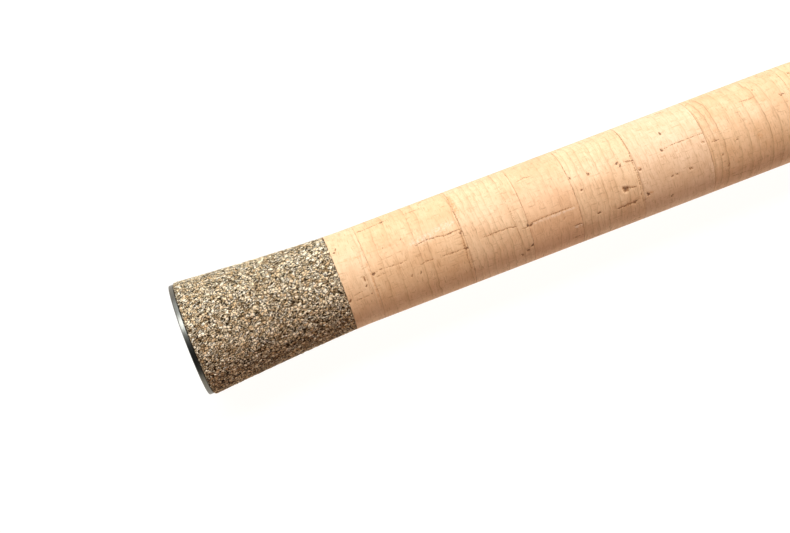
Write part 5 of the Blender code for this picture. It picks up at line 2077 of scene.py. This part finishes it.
@dataclass
class QuiverTip:
    """The painted push-in tip that shows a bite, with its small bound guides and tip ring."""

    start: float = 2152.0
    end: float = 2743.0
    plug: float = 1.58
    plug_end: float = 2201.5
    guides: tuple[float, ...] = (2290.0, 2430.0, 2550.0, 2655.0)
    opening: float = 1.8
    wire: float = 0.4
    rise: float = 3.6
    binding: float = 7.0
    wall: float = 0.5
    foot_in: float = 2.8
    sink: float = 0.8
    ring_opening: float = 1.5
    ring_lean: float = 15.0
    tube_length: float = 9.0
    tube_wall: float = 0.35
    brace: float = 0.32
    brace_angle: float = 30.0
    brace_foot: float = 2.7
    ring_drop: float = 0.6
    edge: float = 0.12

    def build(self) -> None:
        """Make the tip, its guides and its tip ring."""
        outer = [(x, QUIVER.at(x)) for x in rows(self.end - 0.1, self.plug_end + 6.0, 40.0, 0.3)]
        profile = [(self.end, 0.0), (self.end, outer[0][1] - 0.1), *outer]
        profile += [(self.plug_end + 2.0, self.plug - 0.12), (self.plug_end, self.plug)]
        profile += [(self.start + 0.2, self.plug), (self.start, self.plug - 0.2), (self.start, 0.0)]
        piece = turned("ground_quiver_tip", profile, 32, closed=False)
        finished(piece, Body.QUIVER, TIP_WHITE, "quiver_tip")
        for number, x in enumerate(self.guides, 1):
            self.make_guide(number, x)
        self.make_tip_top()

    def ring(self, centre: Vector, major: float, lean: float = 0.0) -> Piece:
        """A round wire ring that faces along the rod, its far side leant forward.

        Args:
            centre: its centre.
            major: the radius of the wire's own middle line.
            lean: how far it leans, in degrees.

        Returns:
            The ring.
        """
        deselect()
        bpy.ops.mesh.primitive_torus_add(
            location=centre * MM,
            rotation=(0.0, math.pi / 2, math.radians(lean)),
            major_radius=major * MM,
            minor_radius=self.wire * MM,
            major_segments=40,
            minor_segments=14,
        )
        return settled("ring")

    def make_guide(self, number: int, x: float) -> None:
        """One small guide: a wire ring on a leg, and the thread that binds it.

        Args:
            number: its number, from the butt.
            x: its place along the rod.
        """
        centre = -(QUIVER.at(x) + self.rise)
        major = self.opening + self.wire
        low = x - self.binding - self.rise
        high = low + self.binding
        bound = QUIVER.bore(low) + self.wall + QUIVER.clearance
        hip = Vector((x, centre + major, 0.0))
        foot = Vector((high - self.foot_in, -(bound - self.sink), 0.0))
        leg = tube("leg", leg_path(hip, foot), self.wire)
        piece = joined([self.ring(Vector((x, centre, 0.0)), major), leg], f"bent_quiver_guide_{number}")
        smooth(piece, 40.0)
        node = f"quiver_guide_{number}"
        finished(piece, Body.QUIVER, GUIDE_STEEL, node)
        Whipping(node, low, high, QUIVER, height=bound - QUIVER.at(low), sides=32).build()

    def make_tip_top(self) -> None:
        """The tube over the quiver's end, with a braced ring in front of it."""
        start = self.end - self.tube_length
        bore = QUIVER.bore(start)
        outer, floor = bore + self.tube_wall, self.end + QUIVER.clearance
        end = floor + self.tube_wall
        profile = [
            (end, 0.0),
            (end, outer - 0.2),
            (end - 0.2, outer),
            (start + self.edge, outer),
            (start, outer - self.edge),
            (start, bore),
            (floor, bore),
            (floor, 0.0),
        ]
        sleeve = turned("sleeve", profile, 40, closed=False)
        major = self.ring_opening + self.wire
        centre = Vector((end + self.wire, -(outer + major * self.ring_drop), 0.0))
        parts = [sleeve, self.ring(centre, major, self.ring_lean)]
        lean = math.radians(self.ring_lean)
        away = Vector((math.sin(lean), -math.cos(lean), 0.0))
        for side in (-1, 1):
            foot = Vector((start + self.brace_foot, -outer + self.wire / 2, side * self.wire))
            side_drop = major * math.sin(math.radians(self.brace_angle))
            side_reach = major * math.cos(math.radians(self.brace_angle))
            top = centre + away * side_drop + Vector((0.0, 0.0, side * side_reach))
            parts.append(tube("brace", [top, top.lerp(foot, 0.5), foot], self.brace))
        piece = joined(parts, "bent_tip_top")
        smooth(piece, 40.0)
        finished(piece, Body.QUIVER, GUIDE_STEEL, "tip_top")


@dataclass
class Arbors:
    """The foam arbors inside the reel seat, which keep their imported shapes."""

    nodes: tuple[str, ...] = ("seat_arbor_1", "seat_arbor_2")

    def build(self) -> None:
        """Give each arbor its finish."""
        for node in self.nodes:
            ARBOR_FOAM.dress(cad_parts[node])


@dataclass(frozen=True)
class Softbox:
    """A long light over the rod: its lean from straight above towards +Y in degrees, its
    distance and its size in metres, and its power in watts."""

    name: str
    lean: float
    distance: float
    width: float
    power: float
    colour: str
    in_gloss: bool = True
    length: float = 5.0

    def hang(self, x: float) -> None:
        """Hang the light over a place on the rod and turn it to the rod.

        Args:
            x: the place along the rod, in metres.
        """
        lamp = bpy.data.lights.new(self.name, "AREA")
        lamp.shape = "RECTANGLE"
        lamp.size, lamp.size_y = self.length, self.width
        lamp.energy = self.power
        lamp.color = linear(self.colour)[:3]
        hung = bpy.data.objects.new(self.name, lamp)
        bpy.context.scene.collection.objects.link(hung)
        lean = math.radians(self.lean)
        hung.location = Vector((x, 0.0, 0.0)) + Vector((0.0, math.sin(lean), math.cos(lean))) * self.distance
        hung.rotation_euler = (-lean, 0.0, 0.0)
        hung.visible_glossy = self.in_gloss


@dataclass
class Studio:
    """A pale floor under the rod, two cool softboxes over it with a warm fill, and the camera."""

    rod_length: float = 2743.0
    floor_rear: float = -16.25
    floor_tip: float = -2.32
    floor_size: float = 60.0
    floor_colour: str = "3C3B3A"
    floor_roughness: float = 0.9
    floor_glow: str = "FFFDFA"
    lights: tuple[Softbox, ...] = (
        Softbox("key_softbox", 25.0, 1.7, 0.6, 107.0, "E8F2FF"),
        Softbox("side_softbox", 66.0, 1.9, 0.8, 30.0, "E8F2FF"),
        Softbox("warm_fill", -48.0, 2.0, 0.3, 12.0, "FF9C48", in_gloss=False),
    )
    world_colour: str = "3A3A3C"
    world_strength: float = 0.35
    contrast: float = 1.15
    lens: float = 63.797
    camera_place: tuple[float, float, float] = (27.79, -81.28, 372.39)
    right: tuple[float, float, float] = (0.93143, -0.36391, 0.0)
    up: tuple[float, float, float] = (0.35457, 0.90753, 0.2251)

    def build(self) -> None:
        """Lay the floor, hang the lights, aim the camera and set the picture's contrast."""
        self.lay_floor()
        for light in self.lights:
            light.hang(self.rod_length / 2 * MM)
        self.aim_camera()
        scene = bpy.context.scene
        scene.world = bpy.data.worlds.new("dark_studio")
        scene.world.use_nodes = True
        tree = scene.world.node_tree
        sky = {"Color": linear(self.world_colour), "Strength": self.world_strength}
        wire(tree, tree.nodes["Background"], sky)
        scene.view_settings.view_transform = "Standard"
        scene.view_settings.gamma = 1.0 / self.contrast

    def lay_floor(self) -> None:
        """A floor that the butt and the tip both rest on, glowing like a lit sweep."""
        deselect()
        slope = math.atan2(self.floor_tip - self.floor_rear, self.rod_length)
        middle = (self.rod_length / 2 * MM, 0.0, (self.floor_rear + self.floor_tip) / 2 * MM)
        bpy.ops.mesh.primitive_plane_add(size=self.floor_size, location=middle, rotation=(0.0, -slope, 0.0))
        floor = settled("pale_floor")
        sweep = bpy.data.materials.new("white_sweep_lit")
        sweep.use_nodes = True
        lit = {
            "Base Color": linear(self.floor_colour),
            "Roughness": self.floor_roughness,
            "Emission Color": linear(self.floor_glow),
            "Emission Strength": 1.0,
        }
        wire(sweep.node_tree, sweep.node_tree.nodes["Principled BSDF"], lit)
        floor.data.materials.append(sweep)

    def aim_camera(self) -> None:
        """Put the camera where the photograph was taken from."""
        eye = bpy.data.cameras.new("photo_camera")
        eye.lens = self.lens
        camera = bpy.data.objects.new("photo_camera", eye)
        bpy.context.scene.collection.objects.link(camera)
        right, up = Vector(self.right), Vector(self.up)
        turn = Matrix((right, up, right.cross(up))).transposed().to_4x4()
        camera.matrix_world = Matrix.Translation(Vector(self.camera_place) * MM) @ turn
        bpy.context.scene.camera = camera


FORE_SHIVES = (
    Shive(326.6, 346.6, STRAW_CORK, joint=0.3),
    Shive(346.6, 368.6, PEACH_CORK, joint=0.4),
    Shive(368.6, 388.6, PINK_CORK, joint=0.3),
)
# Each guide: its number, place, opening, rise, reach, foot, wire, feet and blank
LINE_GUIDES = (
    LineGuide(1, 930.0, 9.0, 20.0, 15.0, 15.0, 0.80, 2, BLANK),
    LineGuide(2, 1205.0, 6.5, 15.0, 12.0, 13.0, 0.70, 2, BLANK),
    LineGuide(3, 1440.0, 5.0, 12.0, 9.5, 11.0, 0.65, 2, TIP_BLANK),
    LineGuide(4, 1665.0, 4.0, 9.0, 7.0, 10.0, 0.60, 1, TIP_BLANK),
    LineGuide(5, 1875.0, 3.5, 7.5, 6.0, 9.0, 0.55, 1, TIP_BLANK),
    LineGuide(6, 2070.0, 3.2, 6.8, 5.5, 8.0, 0.50, 1, TIP_BLANK),
)


def main() -> None:
    """Build every sub-assembly, then the studio."""
    logging.basicConfig(level=logging.INFO, format="%(name)s: %(message)s")
    assemblies = (
        ButtPlate(),
        BurlRing("sanded_burl_butt", "burl_butt", 1.31, 43.29, REAR_GRIP.at, 1.0, 100, 0.17, chamfer=0.4),
        CorkGrip("sanded_rear_shive", "rear_shive", SEEN_SHIVES, REAR_GRIP.at),
        TrimRing(202.6, "rear_trim_ring"),
        ReelSeat(),
        Hood("fixed", Body.HANDLE, mouth=227.6, back=209.6),
        Hood("sliding", Body.HOOD, mouth=287.0, back=305.0, keyed=True),
        LockNut(),
        TrimRing(321.6, "front_trim_ring"),
        CorkGrip("sanded_fore_shive", "fore_shive", FORE_SHIVES, FORE_GRIP.at, levels=1, seed=23),
        BurlRing("sanded_burl_ring", "fore_burl_ring", 388.62, 396.58, FORE_GRIP.at, 0.8, 88, 0.08),
        WindingCheck(),
        Blanks(),
        HookKeeper(),
        *LINE_GUIDES,
        QuiverTip(),
        Arbors(),
    )
    for assembly in assemblies:
        assembly.build()
    Studio().build()


if __name__ == "__main__":
    main()
